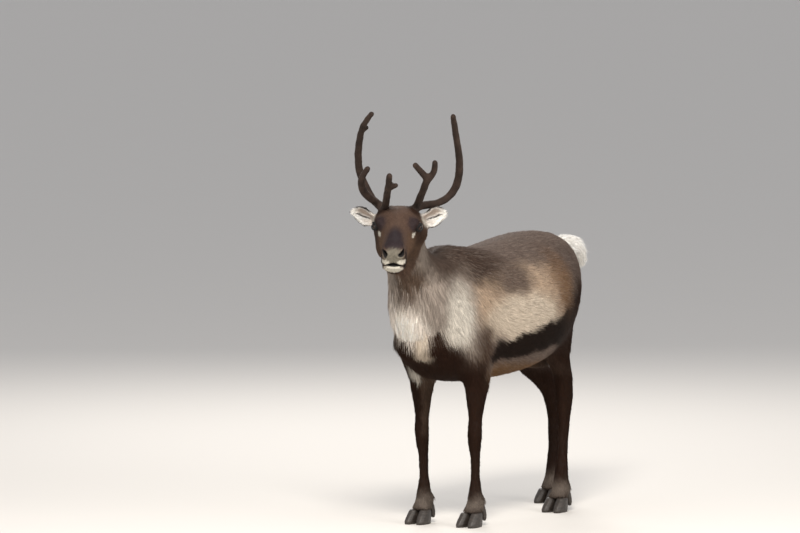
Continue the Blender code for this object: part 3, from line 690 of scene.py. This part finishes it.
def body_colours(points):
    places = to_body(points)
    places = places + wander(points, 0.007, 0.08, (1, 2, 3)) + wander(points, 0.003, 0.02, (4, 5, 6))
    one_sided = places.copy()
    places[:, 0] = np.abs(places[:, 0])
    colours = np.tile(COLOURS["back"], (len(points), 1))
    left, back, up = places.T
    colours = patched(colours, places, BODY_PATCHES)
    start, end, level, rise, half, growth = STRIPE
    along = back - start
    reach = np.abs(up - level - rise * along) / (half + growth * np.maximum(along, 0))
    ends = smoothstep(0, 0.03, along) * smoothstep(0, -0.14, back - end)
    colours = over(colours, "black", smoothstep(1.25, 0.80, reach) * ends * (left > 0.08))
    colours = over(colours, "grey", smoothstep(-0.02, -0.13, back) * smoothstep(0.55, 0.62, up))
    colours = patched(colours, places, NECK_PATCHES)
    colours = patched(colours, one_sided, BRISKET_PATCHES)
    colours = over(colours, "umber", smoothstep(0.60, 0.53, up) * smoothstep(0.03, -0.02, back))
    belly = bell(left, 0.10) * smoothstep(0.05, 0.12, back) * smoothstep(0.50, 0.42, back)
    colours = over(colours, "umber", smoothstep(0.55, 0.46, up) * (1 - belly))
    colours = patched(colours, one_sided, LEG_PATCHES)
    return over(colours, "grey", 0.55 * bell(up - 0.075, 0.030))


def head_colours(head):
    places = head + wander(head, 0.0016, 0.014, (7, 8, 9))
    places[:, 1] = np.abs(places[:, 1])
    colours = patched(np.tile(COLOURS["forehead"], (len(head), 1)), places, HEAD_PATCHES)
    above, half, here = mouth_field(head)
    front = here * (head[:, 0] > MOUTH_CORNER)
    colours = over(colours, "rind", smoothstep(half * 1.6, half * 0.8, np.abs(above)) * front)
    for side in (1, -1):
        inside, radius, along, _ = eye_field(head, side)
        lid = smoothstep(-0.0085, -0.0050, inside) * (along > 0) * (radius < 0.032)
        colours = over(colours, "rind", lid)
        colours = over(colours, "rind", smoothstep(1.25, 0.95, nostril_field(head, side)))
    return colours


def ear_axes(side):
    """An ear's root, direction, length and the way it opens, in the head's axes."""
    root, tip = mirrored(EARS[side][0], side), mirrored(EARS[side][1], side)
    length = np.linalg.norm(tip - root)
    along = (tip - root) / length
    opening = unit(np.array((1.0, 0, 0)) - along * along[0])
    return root, along, length, opening


def ear_colours(head, normals):
    """White inside with tan hollows and a dark cleft, brown behind, with a dark rim. The cleft is painted
    shade of the ear's fold, and the upper hollow's tan is partly painted shade.
    """
    colours = np.tile(COLOURS["back"], (len(head), 1))
    for side in (1, -1):
        root, along, length, opening = ear_axes(side)
        offset = head - root
        share = offset @ along / length
        rise = offset @ np.cross(opening, along) * side
        inner = smoothstep(-0.05, 0.35, normals @ opening)
        half = np.interp(share, *EAR_HALF) * EARS[side][2]
        inside = np.tile(COLOURS["white"], (len(head), 1))
        inside = patched(inside, np.stack((share, rise / half, 0 * share), 1), EAR_PATCHES)
        edge = smoothstep(half - 0.0050, half - 0.0020, np.abs(rise)) * smoothstep(0.1, 0.35, share)
        edge = edge * smoothstep(0.98, 0.80, share)
        behind = over(colours, "white", 0.5 * bell(share - 0.15, 0.2))
        made = behind + (inside - behind) * column(inner)
        made = over(made, "umber", 0.95 * edge)
        colours = np.where((head[:, 1:2] * side > 0), made, colours)
    return colours


def markings(points, normals, weights):
    """The coat's mean colour at each point. The weights say how much of each kind grows there."""
    head = to_head(points)
    share = {kind: weights[:, i:i + 1] for i, kind in enumerate(KINDS)}
    face = share["head"] + share["jaw"] + share["eye"]
    ear, tail = share["ear"], share["tail"]
    rest = np.clip(1 - face - ear - tail, 0, 1)
    return (rest * body_colours(points) + face * head_colours(head)
            + ear * ear_colours(head, normals @ HEAD_AXES.T) + tail * COLOURS["white"])


# ---------------- the coat


def lie(points, normals, weights):
    """The way the hair lies at each point, along the skin, and how far it would point out of it."""
    left, back, _ = to_body(points).T
    flank = np.tile((0.0, 1.0, -0.28), (len(points), 1))
    shoulder = (0.0, 0.45, -0.90)
    rump = (0.0, 0.50, -0.85)
    flank = flank + (shoulder - flank) * column(smoothstep(0.12, -0.10, back))
    flank = flank + (rump - flank) * column(smoothstep(0.48, 0.68, back))
    flank[:, 0] += 0.35 * np.sign(left) * smoothstep(0.5, 0.9, normals[:, 2])
    forward, outward, upward = HEAD_AXES
    side = np.sign(to_head(points)[:, 1:2])
    ear = np.where(side > 0, ear_axes(1)[1] @ HEAD_AXES, ear_axes(-1)[1] @ HEAD_AXES)
    ways = {
        "trunk": flank,
        "neck": (0.0, 0.22, -0.97),
        "thigh": (0.0, 0.25, -0.95),
        "shank": (0.0, 0.10, -1.0),
        "cannon": (0.0, 0.05, -1.0),
        "head": -forward - 0.25 * upward + 0.25 * side * outward,
        "jaw": -forward - 0.35 * upward,
        "ear": ear,
        "tail": (0.0, 0.60, -0.75),
        "eye": -forward + 0 * side,
        "dewclaw": (0.0, 0.0, -1.0),
    }
    way = unit(sum(weights[:, i:i + 1] * ways[kind] for i, kind in enumerate(KINDS)))
    out = dots(way, normals)
    return unit(way - normals * out), out


class Skin:
    """The finished skin as arrays, for planting tufts."""

    def __init__(self, mesh, kinds):
        mesh.calc_loop_triangles()
        self.points = points_of(mesh)
        self.normals = normals_of(mesh)
        self.corners = read(mesh.loop_triangles, "vertices", 3, np.int32)
        loops = read(mesh.loop_triangles, "loops", 3, np.int32)
        self.uv = read(mesh.uv_layers["OFBake"].data, "uv", 2)[loops]
        a, b, c = (self.points[self.corners[:, k]] for k in range(3))
        self.middles = (a + b + c) / 3
        self.areas = lengths(np.cross(b - a, c - a)) / 2
        links = neighbours(mesh)
        own = kinds.at(self.points)
        weights = np.eye(len(KINDS))[own]
        self.weights = spread(weights, links, 5)
        wide = spread(weights, links, 30)
        ways, out = lie(self.points, self.normals, wide)
        self.lie = unit(spread(ways, links, 6))
        ends = self.weights[:, [KINDS.index(kind) for kind in ("neck", "ear", "tail")]].sum(1)
        # 1 where the hair's way runs straight out of the skin, as at the tail's end.
        self.standing = column(ends) * smoothstep(0.70, 0.98, spread(out, links, 3))
        self.colours = markings(self.points, self.normals, self.weights)
        self.face_kinds = own[self.corners[:, 0]]

    def at(self, values, faces, shares):
        """Point values at places inside faces."""
        return np.einsum("nk,nk...->n...", shares, values[self.corners[faces]])


def bare(points):
    """Where no hair grows: on the lids' edges, in the nostrils and between the lips."""
    head = to_head(points)
    above, half, here = mouth_field(head)
    bald = (np.abs(above) < half * 1.1) & (here > 0.3) & (head[:, 0] > MOUTH_CORNER)
    for side in (1, -1):
        inside, radius, along, _ = eye_field(head, side)
        bald |= (inside > -0.0032) & (along > 0) & (radius < 0.032)
        bald |= nostril_field(head, side) < 1.05
    return bald & (lengths(head) < 0.3)


# How much longer the hair is in the mane, at the fetlocks, between the thighs and on the ears.
MANE_HAIR = 0.040
FETLOCK_HAIR = 0.009
THIGH_HAIR = 0.016
EAR_HAIR = 0.004


def hair_length(points, kinds):
    """The hair's length at each point. On the head it grows from the muzzle to behind the eyes."""
    forward = to_head(points)[:, 0]
    face = (1 - 0.62 * smoothstep(0.06, 0.20, forward)) * (1 + 1.6 * smoothstep(-0.02, -0.13, forward))
    length = LENGTH[kinds]
    length = np.where(is_kind(kinds, "head", "jaw", "eye"), length * face, length)
    fetlock = np.min([lengths(points - middle) for middle in FETLOCKS], axis=0)
    left, back, up = to_body(points).T
    between = bell(np.abs(left) - 0.08, 0.035) * smoothstep(0.50, 0.53, back) * bell(up - 0.48, 0.05)
    length = length + mane(points) * MANE_HAIR + FETLOCK_HAIR * smoothstep(0.045, 0.020, fetlock)
    return length + THIGH_HAIR * between + is_kind(kinds, "ear") * EAR_HAIR


END_LIFT = 55  # degrees more where the hair's way runs out of the skin
LEAST_LIFT = 3  # degrees
# How far the lift varies as a share, over what distance, and the seed of its waves.
LIFT_WAVE = (0.25, 0.02, 23)
# The same for the sideways bends of the hair's way, which come in two sizes.
SWAYS = ((0.15, 0.035, 21), (0.11, 0.012, 22))
SWAY_SPREAD = 0.09  # from one tuft to the next
# Each tuft's own length, width and lift, as lowest and highest shares of the usual.
LENGTHS, WIDTHS, LIFTS = (0.72, 1.18), (0.75, 1.25), (0.7, 1.3)
ROOT_SUNK, RIDGE_RISE = 0.3, 0.42  # in widths
# How far a tuft's normals lean to its sides and its tip, and back where it stands out of the skin.
SIDE_LEAN, TIP_LEAN, END_LEAN = 0.45, 0.25, 0.8
GRIZZLE = 0.16  # how far the tufts' lightness spreads
PALE_TIPS = 0.12  # share of the body's tufts that are paler
SILVERED = 0.35  # how far such a tuft goes towards silver
TUFT_PATCH = 0.003  # each tuft's size on the unwrap
PIECE_FACES = 199000  # at most


# A shape of tuft: its faces, and each point's side, place along it, place on its patch, and tone.
Form = namedtuple("Form", "faces side end patch tone")
# Where tufts are rooted: each one's place, the skin's normal, the hair's way and across it.
Roots = namedtuple("Roots", "places normals ways across")
# Many tufts of one form, as arrays by tuft and point. The places are on the unwrap.
Tufts = namedtuple("Tufts", "points normals colours strands places")


def form_of(**parts):
    return Form(**{name: np.array(part) for name, part in parts.items()})


# Tones run dark at a tuft's root and light at its tip: partly the hair's paler tips, partly painted shade
# deep in the coat.
# A short tuft is a flat wedge: left, right and ridge at its root, and one tip.
SHORT = form_of(
    faces=((0, 2, 1), (0, 3, 2), (2, 3, 1), (1, 3, 0)),
    side=(-1, 1, 0, 0),
    end=(0, 0, 0, 1),
    patch=((-0.5, -0.4), (0.5, -0.4), (0.0, -0.1), (0.0, 0.5)),
    tone=(0.76, 0.76, 0.82, 1.12),
)
# A long one is a slim leaf that bends: root, left, right and ridge at its widest, and tip.
WIDEST = 0.35  # of the way along it
LOWER_LIFT, UPPER_LIFT = 1.35, 0.75  # of its lift, below and above its widest place
DROOP = 0.08  # of its length
LONG = form_of(
    faces=((0, 1, 3), (0, 3, 2), (0, 2, 1), (1, 4, 3), (3, 4, 2), (2, 4, 1)),
    side=(0, -1, 1, 0, 0),
    end=(0, WIDEST, WIDEST, WIDEST, 1),
    patch=((0.0, -0.5), (-0.5, 0.0), (0.5, 0.0), (0.0, 0.1), (0.0, 0.5)),
    tone=(0.76, 0.92, 0.92, 0.96, 1.10),
)


def tuft_points(form, roots, length, width, lift):
    """The points of each tuft, lifted from the skin by these angles."""

    def ahead(start, angle, far):
        way = roots.ways * column(np.cos(angle)) + roots.normals * column(np.sin(angle))
        return start + way * column(far)

    base = roots.places - roots.normals * column(width * ROOT_SUNK)
    ridge = roots.normals * column(width * RIDGE_RISE)
    half = roots.across * column(width / 2)
    if form is LONG:
        mids = ahead(roots.places, lift * LOWER_LIFT, length * WIDEST)
        tips = ahead(mids, lift * UPPER_LIFT, length * (1 - WIDEST))
        tips[:, 2] -= DROOP * length
        return np.stack((base, mids - half, mids + half, mids + ridge, tips), 1)
    tips = ahead(roots.places, lift, length)
    return np.stack((base - half, base + half, base + ridge, tips), 1)


def density(kind, middles):
    """How thickly the tufts stand: more on the muzzle, and fewer behind the eyes."""
    if kind not in ("head", "jaw"):
        return 1
    forward = to_head(middles)[:, 0]
    return 1 + 1.6 * smoothstep(0.08, 0.20, forward) - 0.55 * smoothstep(-0.02, -0.12, forward)


def rooted(skin, chosen, shares, places):
    """Roots at these places on the chosen faces, with a sway in the hair's way."""
    normals = unit(skin.at(skin.normals, chosen, shares))
    ways = skin.at(skin.lie, chosen, shares)
    across = np.cross(normals, ways)
    sway = sum(far * waves(places, size, seed) for far, size, seed in SWAYS)
    sway = sway + RANDOM.normal(0, SWAY_SPREAD, len(places))
    ways = unit(ways + across * column(sway) - normals * dots(ways, normals))
    return Roots(places, normals, ways, unit(np.cross(normals, ways)))


def tuft_colours(form, kind, roots, weights, length):
    """The colours of each tuft's points: the marking near its middle, a little lighter or darker."""
    count = len(length)
    reach = length * RANDOM.uniform(0.30, 0.80, count)
    aside = length * RANDOM.normal(0, 0.12, count)
    spots = roots.places + roots.ways * column(reach) + roots.across * column(aside)
    colours = markings(spots, roots.normals, weights)
    grizzle = np.exp(RANDOM.normal(0, GRIZZLE, count) + 0.08 * waves(roots.places, 0.012, 24))
    pale = (RANDOM.random(count) < PALE_TIPS) & (kind in ("trunk", "thigh"))
    colours = colours * column(grizzle)
    paler = colours + SILVERED * np.maximum(COLOURS["silver"] - colours, 0)
    colours = np.where(column(pale & (colours[:, 0] > 0.05)), paler, colours)
    return np.clip(colours[:, None, :] * form.tone[None, :, None], 0, 0.95)


def plant(skin, kind, form, faces):
    """Tufts of one kind and form on these faces, as arrays by tuft and point."""
    index = KINDS.index(kind)
    wanted = skin.areas[faces] * density(kind, skin.middles[faces])
    count = int(wanted.sum() / AREA[index])
    chosen = faces[RANDOM.choice(len(faces), count, p=wanted / wanted.sum())]
    shares = RANDOM.dirichlet((1, 1, 1), count)
    places = skin.at(skin.points, chosen, shares)
    standing = skin.at(skin.standing, chosen, shares)[:, 0]
    grows = ~bare(places) & ((kind != "tail") | (standing < 0.02))
    chosen, shares, places, standing = (values[grows] for values in (chosen, shares, places, standing))
    count = len(places)
    roots = rooted(skin, chosen, shares, places)
    length = hair_length(places, skin.face_kinds[chosen]) * RANDOM.uniform(*LENGTHS, count)
    width = WIDTH[index] * (length / LENGTH[index]) ** 0.4 * RANDOM.uniform(*WIDTHS, count)
    wave, *size_and_seed = LIFT_WAVE
    lift = LIFT[index] * (1 + wave * waves(places, *size_and_seed)) * RANDOM.uniform(*LIFTS, count)
    lift = np.radians(np.maximum(lift, LEAST_LIFT) + END_LIFT * standing)
    points = tuft_points(form, roots, length, width, lift)
    upper = roots.normals * column(1 - END_LEAN * standing) - roots.ways * column(END_LEAN * standing)
    facing = upper[:, None] + roots.across[:, None] * SIDE_LEAN * column(form.side)
    facing = unit(facing + roots.ways[:, None] * TIP_LEAN * column(form.end))
    colours = tuft_colours(form, kind, roots, skin.at(skin.weights, chosen, shares), length)
    seeds = column(RANDOM.random(count)) + 0 * form.side
    strands = np.stack((0 * seeds + form.side / 2 + 0.5, 0 * seeds + form.end, seeds), 2)
    return Tufts(points, facing, colours, strands, np.einsum("nk,nkc->nc", shares, skin.uv[chosen]))


def coat_piece(name, tufts, form, stuff):
    """One object of tufts, each with its colours and its patch of the unwrap."""
    count, each = tufts.points.shape[:2]
    corners = (form.faces[None] + (np.arange(count) * each)[:, None, None]).reshape(-1, 3)
    mesh = bpy.data.meshes.new(name)
    mesh.vertices.add(count * each)
    mesh.vertices.foreach_set("co", flat(tufts.points))
    mesh.loops.add(corners.size)
    mesh.loops.foreach_set("vertex_index", flat(corners, np.int32))
    mesh.polygons.add(len(corners))
    mesh.polygons.foreach_set("loop_start", np.arange(0, corners.size, 3, dtype=np.int32))
    mesh.update(calc_edges=True)
    layer = mesh.uv_layers.new(name="OFBake")
    spots = tufts.places[:, None, None, :] + TUFT_PATCH * form.patch[form.faces][None]
    layer.data.foreach_set("uv", flat(spots))
    paint(mesh, tufts.colours.reshape(-1, 3))
    strand = mesh.attributes.new("strand", "FLOAT_VECTOR", "POINT")
    strand.data.foreach_set("vector", flat(tufts.strands))
    dress(mesh, stuff)
    mesh.normals_split_custom_set_from_vertices(tufts.normals.reshape(-1, 3).astype(np.float32))
    return piece(name, mesh)


def paint(mesh, colours):
    layer = mesh.attributes.new("coat", "FLOAT_COLOR", "POINT")
    rgba = np.ones((len(colours), 4), np.float32)
    rgba[:, :3] = colours
    layer.data.foreach_set("color", rgba.ravel())


def make_coat(skin, stuff):
    """All the tufts, in pieces by the kind of place, those of the mane and tail long."""
    in_mane = mane(skin.middles) > 0.15
    for kind in KINDS:
        if kind in ("eye", "dewclaw"):
            continue
        here = is_kind(skin.face_kinds, kind)
        groups = {kind: here & ~in_mane, kind + "_mane": here & in_mane} if kind == "neck" else {kind: here}
        for name, faces in groups.items():
            form = LONG if name in ("neck_mane", "tail") else SHORT
            tufts = plant(skin, kind, form, np.flatnonzero(faces))
            parts = math.ceil(len(tufts.points) * len(form.faces) / PIECE_FACES)
            order = np.argsort(tufts.points[:, 0, 1], kind="stable")
            for number, which in enumerate(np.array_split(order, parts), 1):
                chosen = Tufts(*(part[which] for part in tufts))
                coat_piece(f"coat_{name}_{number}", chosen, form, stuff)


# ---------------- materials


def feed(tree, node, **inputs):
    """Links a socket to each input of these names, or sets the value given for it."""
    for name, given in inputs.items():
        entry = node.inputs[name.replace("_", " ")]
        if isinstance(given, bpy.types.NodeSocket):
            tree.links.new(given, entry)
        else:
            entry.default_value = given
    return node


def added(tree, kind, **inputs):
    """A new node with these inputs."""
    return feed(tree, tree.nodes.new("ShaderNode" + kind), **inputs)


def shader(name, roughness, **inputs):
    """A new material, its node tree and its Principled shader."""
    made = bpy.data.materials.new(name)
    made.use_nodes = True
    tree = made.node_tree
    return made, tree, feed(tree, tree.nodes["Principled BSDF"], Roughness=roughness, **inputs)


def model_space(tree):
    return added(tree, "TexCoord").outputs["Object"]


def stored(tree, name):
    """The values stored with the mesh under that name."""
    node = added(tree, "Attribute")
    node.attribute_name = name
    return node


def vector_math(tree, operation, vector):
    node = added(tree, "VectorMath", Vector=vector)
    node.operation = operation
    return node


def stretched(tree, vector, scale):
    node = vector_math(tree, "MULTIPLY", vector)
    node.inputs[1].default_value = scale
    return node.outputs["Vector"]


def noise(tree, vector, scale, detail=3.0):
    return added(tree, "TexNoise", Scale=scale, Detail=detail, Vector=vector).outputs["Fac"]


def ranged(tree, value, low, high):
    """The value's middle range, where most of a noise lies, mapped to low..high."""
    node = added(tree, "MapRange", Value=value, From_Min=0.3, From_Max=0.7, To_Min=low, To_Max=high)
    return node.outputs["Result"]


def ramp(tree, value, stops):
    """A colour by the value, from stops of places and colours."""
    node = added(tree, "ValToRGB", Fac=value)
    while len(node.color_ramp.elements) < len(stops):
        node.color_ramp.elements.new(0.5)
    for element, (place, colour) in zip(node.color_ramp.elements, stops):
        element.position = place
        element.color = (*colour, 1)
    return node.outputs["Color"]


def mottled(tree, shade, colour, value, low, high):
    """Gives the shader this colour, from low to high times as light by the value."""
    node = vector_math(tree, "SCALE", colour)
    feed(tree, node, Scale=ranged(tree, value, low, high))
    feed(tree, shade, Base_Color=node.outputs["Vector"])


def bumped(tree, shade, height, strength, distance):
    bump = added(tree, "Bump", Strength=strength, Distance=distance, Height=height)
    feed(tree, shade, Normal=bump.outputs["Normal"])


# How often a strand's streaks change across it, along it and from one tuft to the next.
STREAKS = (6.0, 1.2, 400.0)


def hair_material():
    """The painted coat with streaks drawn out along each tuft, so that it reads as a lock of hairs."""
    made, tree, node = shader("coat_hair", 0.75, Specular_IOR_Level=0.07)
    streaks = noise(tree, stretched(tree, stored(tree, "strand").outputs["Vector"], STREAKS), 1.0, 2.0)
    mottled(tree, node, stored(tree, "coat").outputs["Color"], streaks, 0.80, 1.20)
    bumped(tree, node, streaks, 0.5, 0.0006)
    return made


def skin_material():
    made, tree, node = shader("coat_skin", 0.70, Specular_IOR_Level=0.15)
    fine = noise(tree, model_space(tree), 700.0, 4.0)
    mottled(tree, node, stored(tree, "coat").outputs["Color"], fine, 0.78, 1.18)
    bumped(tree, node, fine, 0.5, 0.0008)
    return made


# ---------------- the pieces

# The skin is the coat's colour darkened by this share, as painted shade deep under the hair.
SKIN_PAINTED_SHADE = 0.72  # of the coat's colour


def make_skin():
    mesh = thin_out(flesh_mesh())
    unwrap(mesh)
    shape_head(mesh)
    mesh.name = "skin"
    skin = Skin(mesh, Kinds(SKIN_NODES))
    paint(mesh, skin.colours * SKIN_PAINTED_SHADE)
    dress(mesh, skin_material())
    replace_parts(piece("skin", mesh), *FLESH)
    return skin


# The pupil is longer along the lids than across them.
PUPIL = (55.0, 85.0, 0.0)


def eye_material():
    """Dark brown iris round a long black pupil, under a wet clear surface."""
    made, tree, node = shader("eye_wet", 0.30, Coat_Weight=0.5, Coat_Roughness=0.03, Coat_IOR=1.33,
                              Specular_IOR_Level=0.1)
    length = vector_math(tree, "LENGTH", stretched(tree, model_space(tree), PUPIL)).outputs["Value"]
    stops = ((0.30, (0.002, 0.002, 0.003)), (0.40, (0.026, 0.012, 0.007)), (0.52, (0.016, 0.008, 0.005)),
             (0.66, (0.003, 0.002, 0.002)))
    feed(tree, node, Base_Color=ramp(tree, length, stops))
    return made


CORNEA_RISE = 0.05  # of the eye's radius


def make_eyes():
    stuff = eye_material()
    for side, word in ((1, "left"), (-1, "right")):
        back, _, gaze = (axis @ HEAD_AXES for axis in eye_axes(side))
        ball = bmesh.new()
        bmesh.ops.create_uvsphere(ball, u_segments=64, v_segments=40, radius=EYE_RADIUS)
        for vertex in ball.verts:
            vertex.co *= 1 + CORNEA_RISE * smoothstep(0.80, 1.0, vertex.co.z / EYE_RADIUS)
        mesh = made_mesh(f"eyeball_{word}", ball)
        dress(mesh, stuff)
        made = linked(f"eyeball_{word}", mesh)
        turn = Matrix((back, np.cross(gaze, back), gaze)).transposed().to_4x4()
        made.matrix_world = Matrix.Translation(middle_of(f"eye_{word}")) @ turn
        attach(made, "root")
        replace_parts(made, f"eye_{word}")


ANTLER_VOXEL = 0.0022
ANTLER_ROUNDS = 150
THICKNESS_ROUNDS = 70


def velvet_material():
    made, tree, node = shader("antler_velvet", 0.80, Sheen_Weight=0.08, Sheen_Roughness=0.4,
                              Sheen_Tint=(0.50, 0.38, 0.30, 1), Specular_IOR_Level=0.15)
    stops = ((0.30, (0.014, 0.009, 0.007)), (0.55, (0.026, 0.016, 0.012)), (0.80, (0.046, 0.029, 0.021)))
    colour = ramp(tree, noise(tree, model_space(tree), 28.0), stops)
    fine = noise(tree, model_space(tree), 900.0, 4.0)
    mottled(tree, node, colour, fine, 0.75, 1.25)
    bumped(tree, node, fine, 0.6, 0.0006)
    return made


def rounded(mesh):
    """The antler's points with its flats and kinks smoothed away, and its thickness kept."""
    points, links = points_of(mesh), neighbours(mesh)
    slim = spread(points, links, ANTLER_ROUNDS)
    set_points(mesh, slim)
    normals = normals_of(mesh)
    lost = dots(points - slim, normals)
    full = slim + normals * spread(lost, links, THICKNESS_ROUNDS)
    set_points(mesh, full)
    return full


def make_antlers():
    stuff = velvet_material()
    for name, nodes in ANTLERS.items():
        mesh = fused(nodes, 0.0012, ANTLER_VOXEL)
        points = rounded(mesh)
        swell = 0.0005 * waves(points, 0.045, 31) + 0.00018 * waves(points, 0.011, 32)
        set_points(mesh, points + normals_of(mesh) * column(swell))
        dress(mesh, stuff)
        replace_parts(piece(name, mesh), *nodes)


HOOF_VOXEL = 0.0022
HOOF_ROUNDS = 12
RING_SPACING = 0.009
RING_DEPTH = 0.0003


def hoof_material():
    made, tree, node = shader("hoof_horn", 0.50)
    rings = noise(tree, stretched(tree, model_space(tree), (1, 1, 6)), 60.0)
    stops = ((0.30, (0.018, 0.014, 0.011)), (0.60, (0.034, 0.026, 0.021)), (0.85, (0.062, 0.048, 0.038)))
    feed(tree, node, Base_Color=ramp(tree, rings, stops))
    bumped(tree, node, rings, 0.4, 0.0005)
    return made


def horn_mesh(name):
    """One claw or dewclaw with rounded edges and growth rings, its sole still flat."""
    mesh = fused((name,), 0.0, HOOF_VOXEL)
    points = points_of(mesh)
    sole = points[:, 2] < HOOF_VOXEL / 2
    points = spread(points, neighbours(mesh), HOOF_ROUNDS)
    points[sole, 2] = 0.0
    set_points(mesh, points)
    normals = normals_of(mesh)
    rings = np.sin(points[:, 2] / RING_SPACING * 2 * np.pi + 2 * waves(points, 0.03, 41))
    rings = RING_DEPTH * rings * smoothstep(0.004, 0.012, points[:, 2]) * (1 - normals[:, 2] ** 2)
    set_points(mesh, points + normals * column(rings))
    return mesh


def make_hooves():
    stuff = hoof_material()
    for leg, nodes in HOOVES.items():
        work = bmesh.new()
        for name in nodes:
            work.from_mesh(horn_mesh(name))
        mesh = made_mesh(leg + "_hoof", work)
        dress(mesh, stuff)
        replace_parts(piece(leg + "_hoof", mesh), *nodes)


# ---------------- camera, floor and light

CAMERA_AZIMUTH = math.radians(31)
CAMERA_ELEVATION = math.radians(5)
CAMERA_DISTANCE = 45.0
FRAME_WIDTH = 800 / 290  # metres across the picture at the animal
AIM_RIGHT = -0.169  # of the withers, across the picture
AIM_UP = 0.8897  # above the floor below them, up the picture


def aimed(name, data, place, way):
    """A camera or lamp at a place, facing that way."""
    made = linked(name, data)
    made.location = place
    made.rotation_mode = "QUATERNION"
    made.rotation_quaternion = way.to_track_quat("-Z", "Y")
    return made


def make_camera():
    a, e = CAMERA_AZIMUTH, CAMERA_ELEVATION
    back = Vector((math.sin(a) * math.cos(e), -math.cos(a) * math.cos(e), math.sin(e)))
    right = Vector((math.cos(a), math.sin(a), 0))
    aim = Vector(WITHERS) + right * AIM_RIGHT + back.cross(right) * AIM_UP
    data = bpy.data.cameras.new("camera")
    data.sensor_width = 36.0
    data.lens = data.sensor_width * CAMERA_DISTANCE / FRAME_WIDTH
    data.clip_end = 200.0
    bpy.context.scene.camera = aimed("camera", data, aim + back * CAMERA_DISTANCE, -back)


def make_floor():
    bpy.ops.mesh.primitive_plane_add(size=60)
    floor = bpy.context.object
    floor.name = "floor"
    made, tree, node = shader("floor_plain", 0.9)
    tone = ranged(tree, noise(tree, model_space(tree), 3.0), 0.97, 1.0)
    colour = ramp(tree, tone, ((0.0, (0.60, 0.57, 0.53)), (1.0, (0.66, 0.63, 0.59))))
    feed(tree, node, Base_Color=colour)
    floor.data.materials.append(made)


LIT_PLACE = Vector((0, 0, 0.8))
SOFT_WHITE = (1.0, 0.97, 0.93)
# Each lamp's name, place, diameter, power and colour.
LAMPS = (
    ("key", (2.2, -3.9, 4.4), 1.4, 370.0, (1.0, 0.95, 0.88)),
    ("fill", (4.8, -0.5, 1.8), 3.0, 110.0, SOFT_WHITE),
    ("front", (-0.8, -4.6, 1.2), 2.5, 45.0, SOFT_WHITE),
    ("rim", (-2.5, 3.5, 3.5), 2.0, 120.0, SOFT_WHITE),
)


def area_light(name, place, size, power, colour):
    data = bpy.data.lights.new(name, "AREA")
    data.shape = "DISK"
    data.size = size
    data.energy = power
    data.color = colour
    aimed(name, data, place, LIT_PLACE - Vector(place))


def make_light():
    world = bpy.data.worlds.new("studio")
    world.use_nodes = True
    tree = world.node_tree
    feed(tree, tree.nodes["Background"], Color=(0.93, 0.95, 1.0, 1), Strength=0.60)
    bpy.context.scene.world = world
    bpy.context.scene.view_settings.view_transform = "Standard"
    for lamp in LAMPS:
        area_light(*lamp)


# ---------------- the whole

make_camera()
make_light()
make_floor()
SKIN = make_skin()
make_coat(SKIN, hair_material())
make_eyes()
make_antlers()
make_hooves()
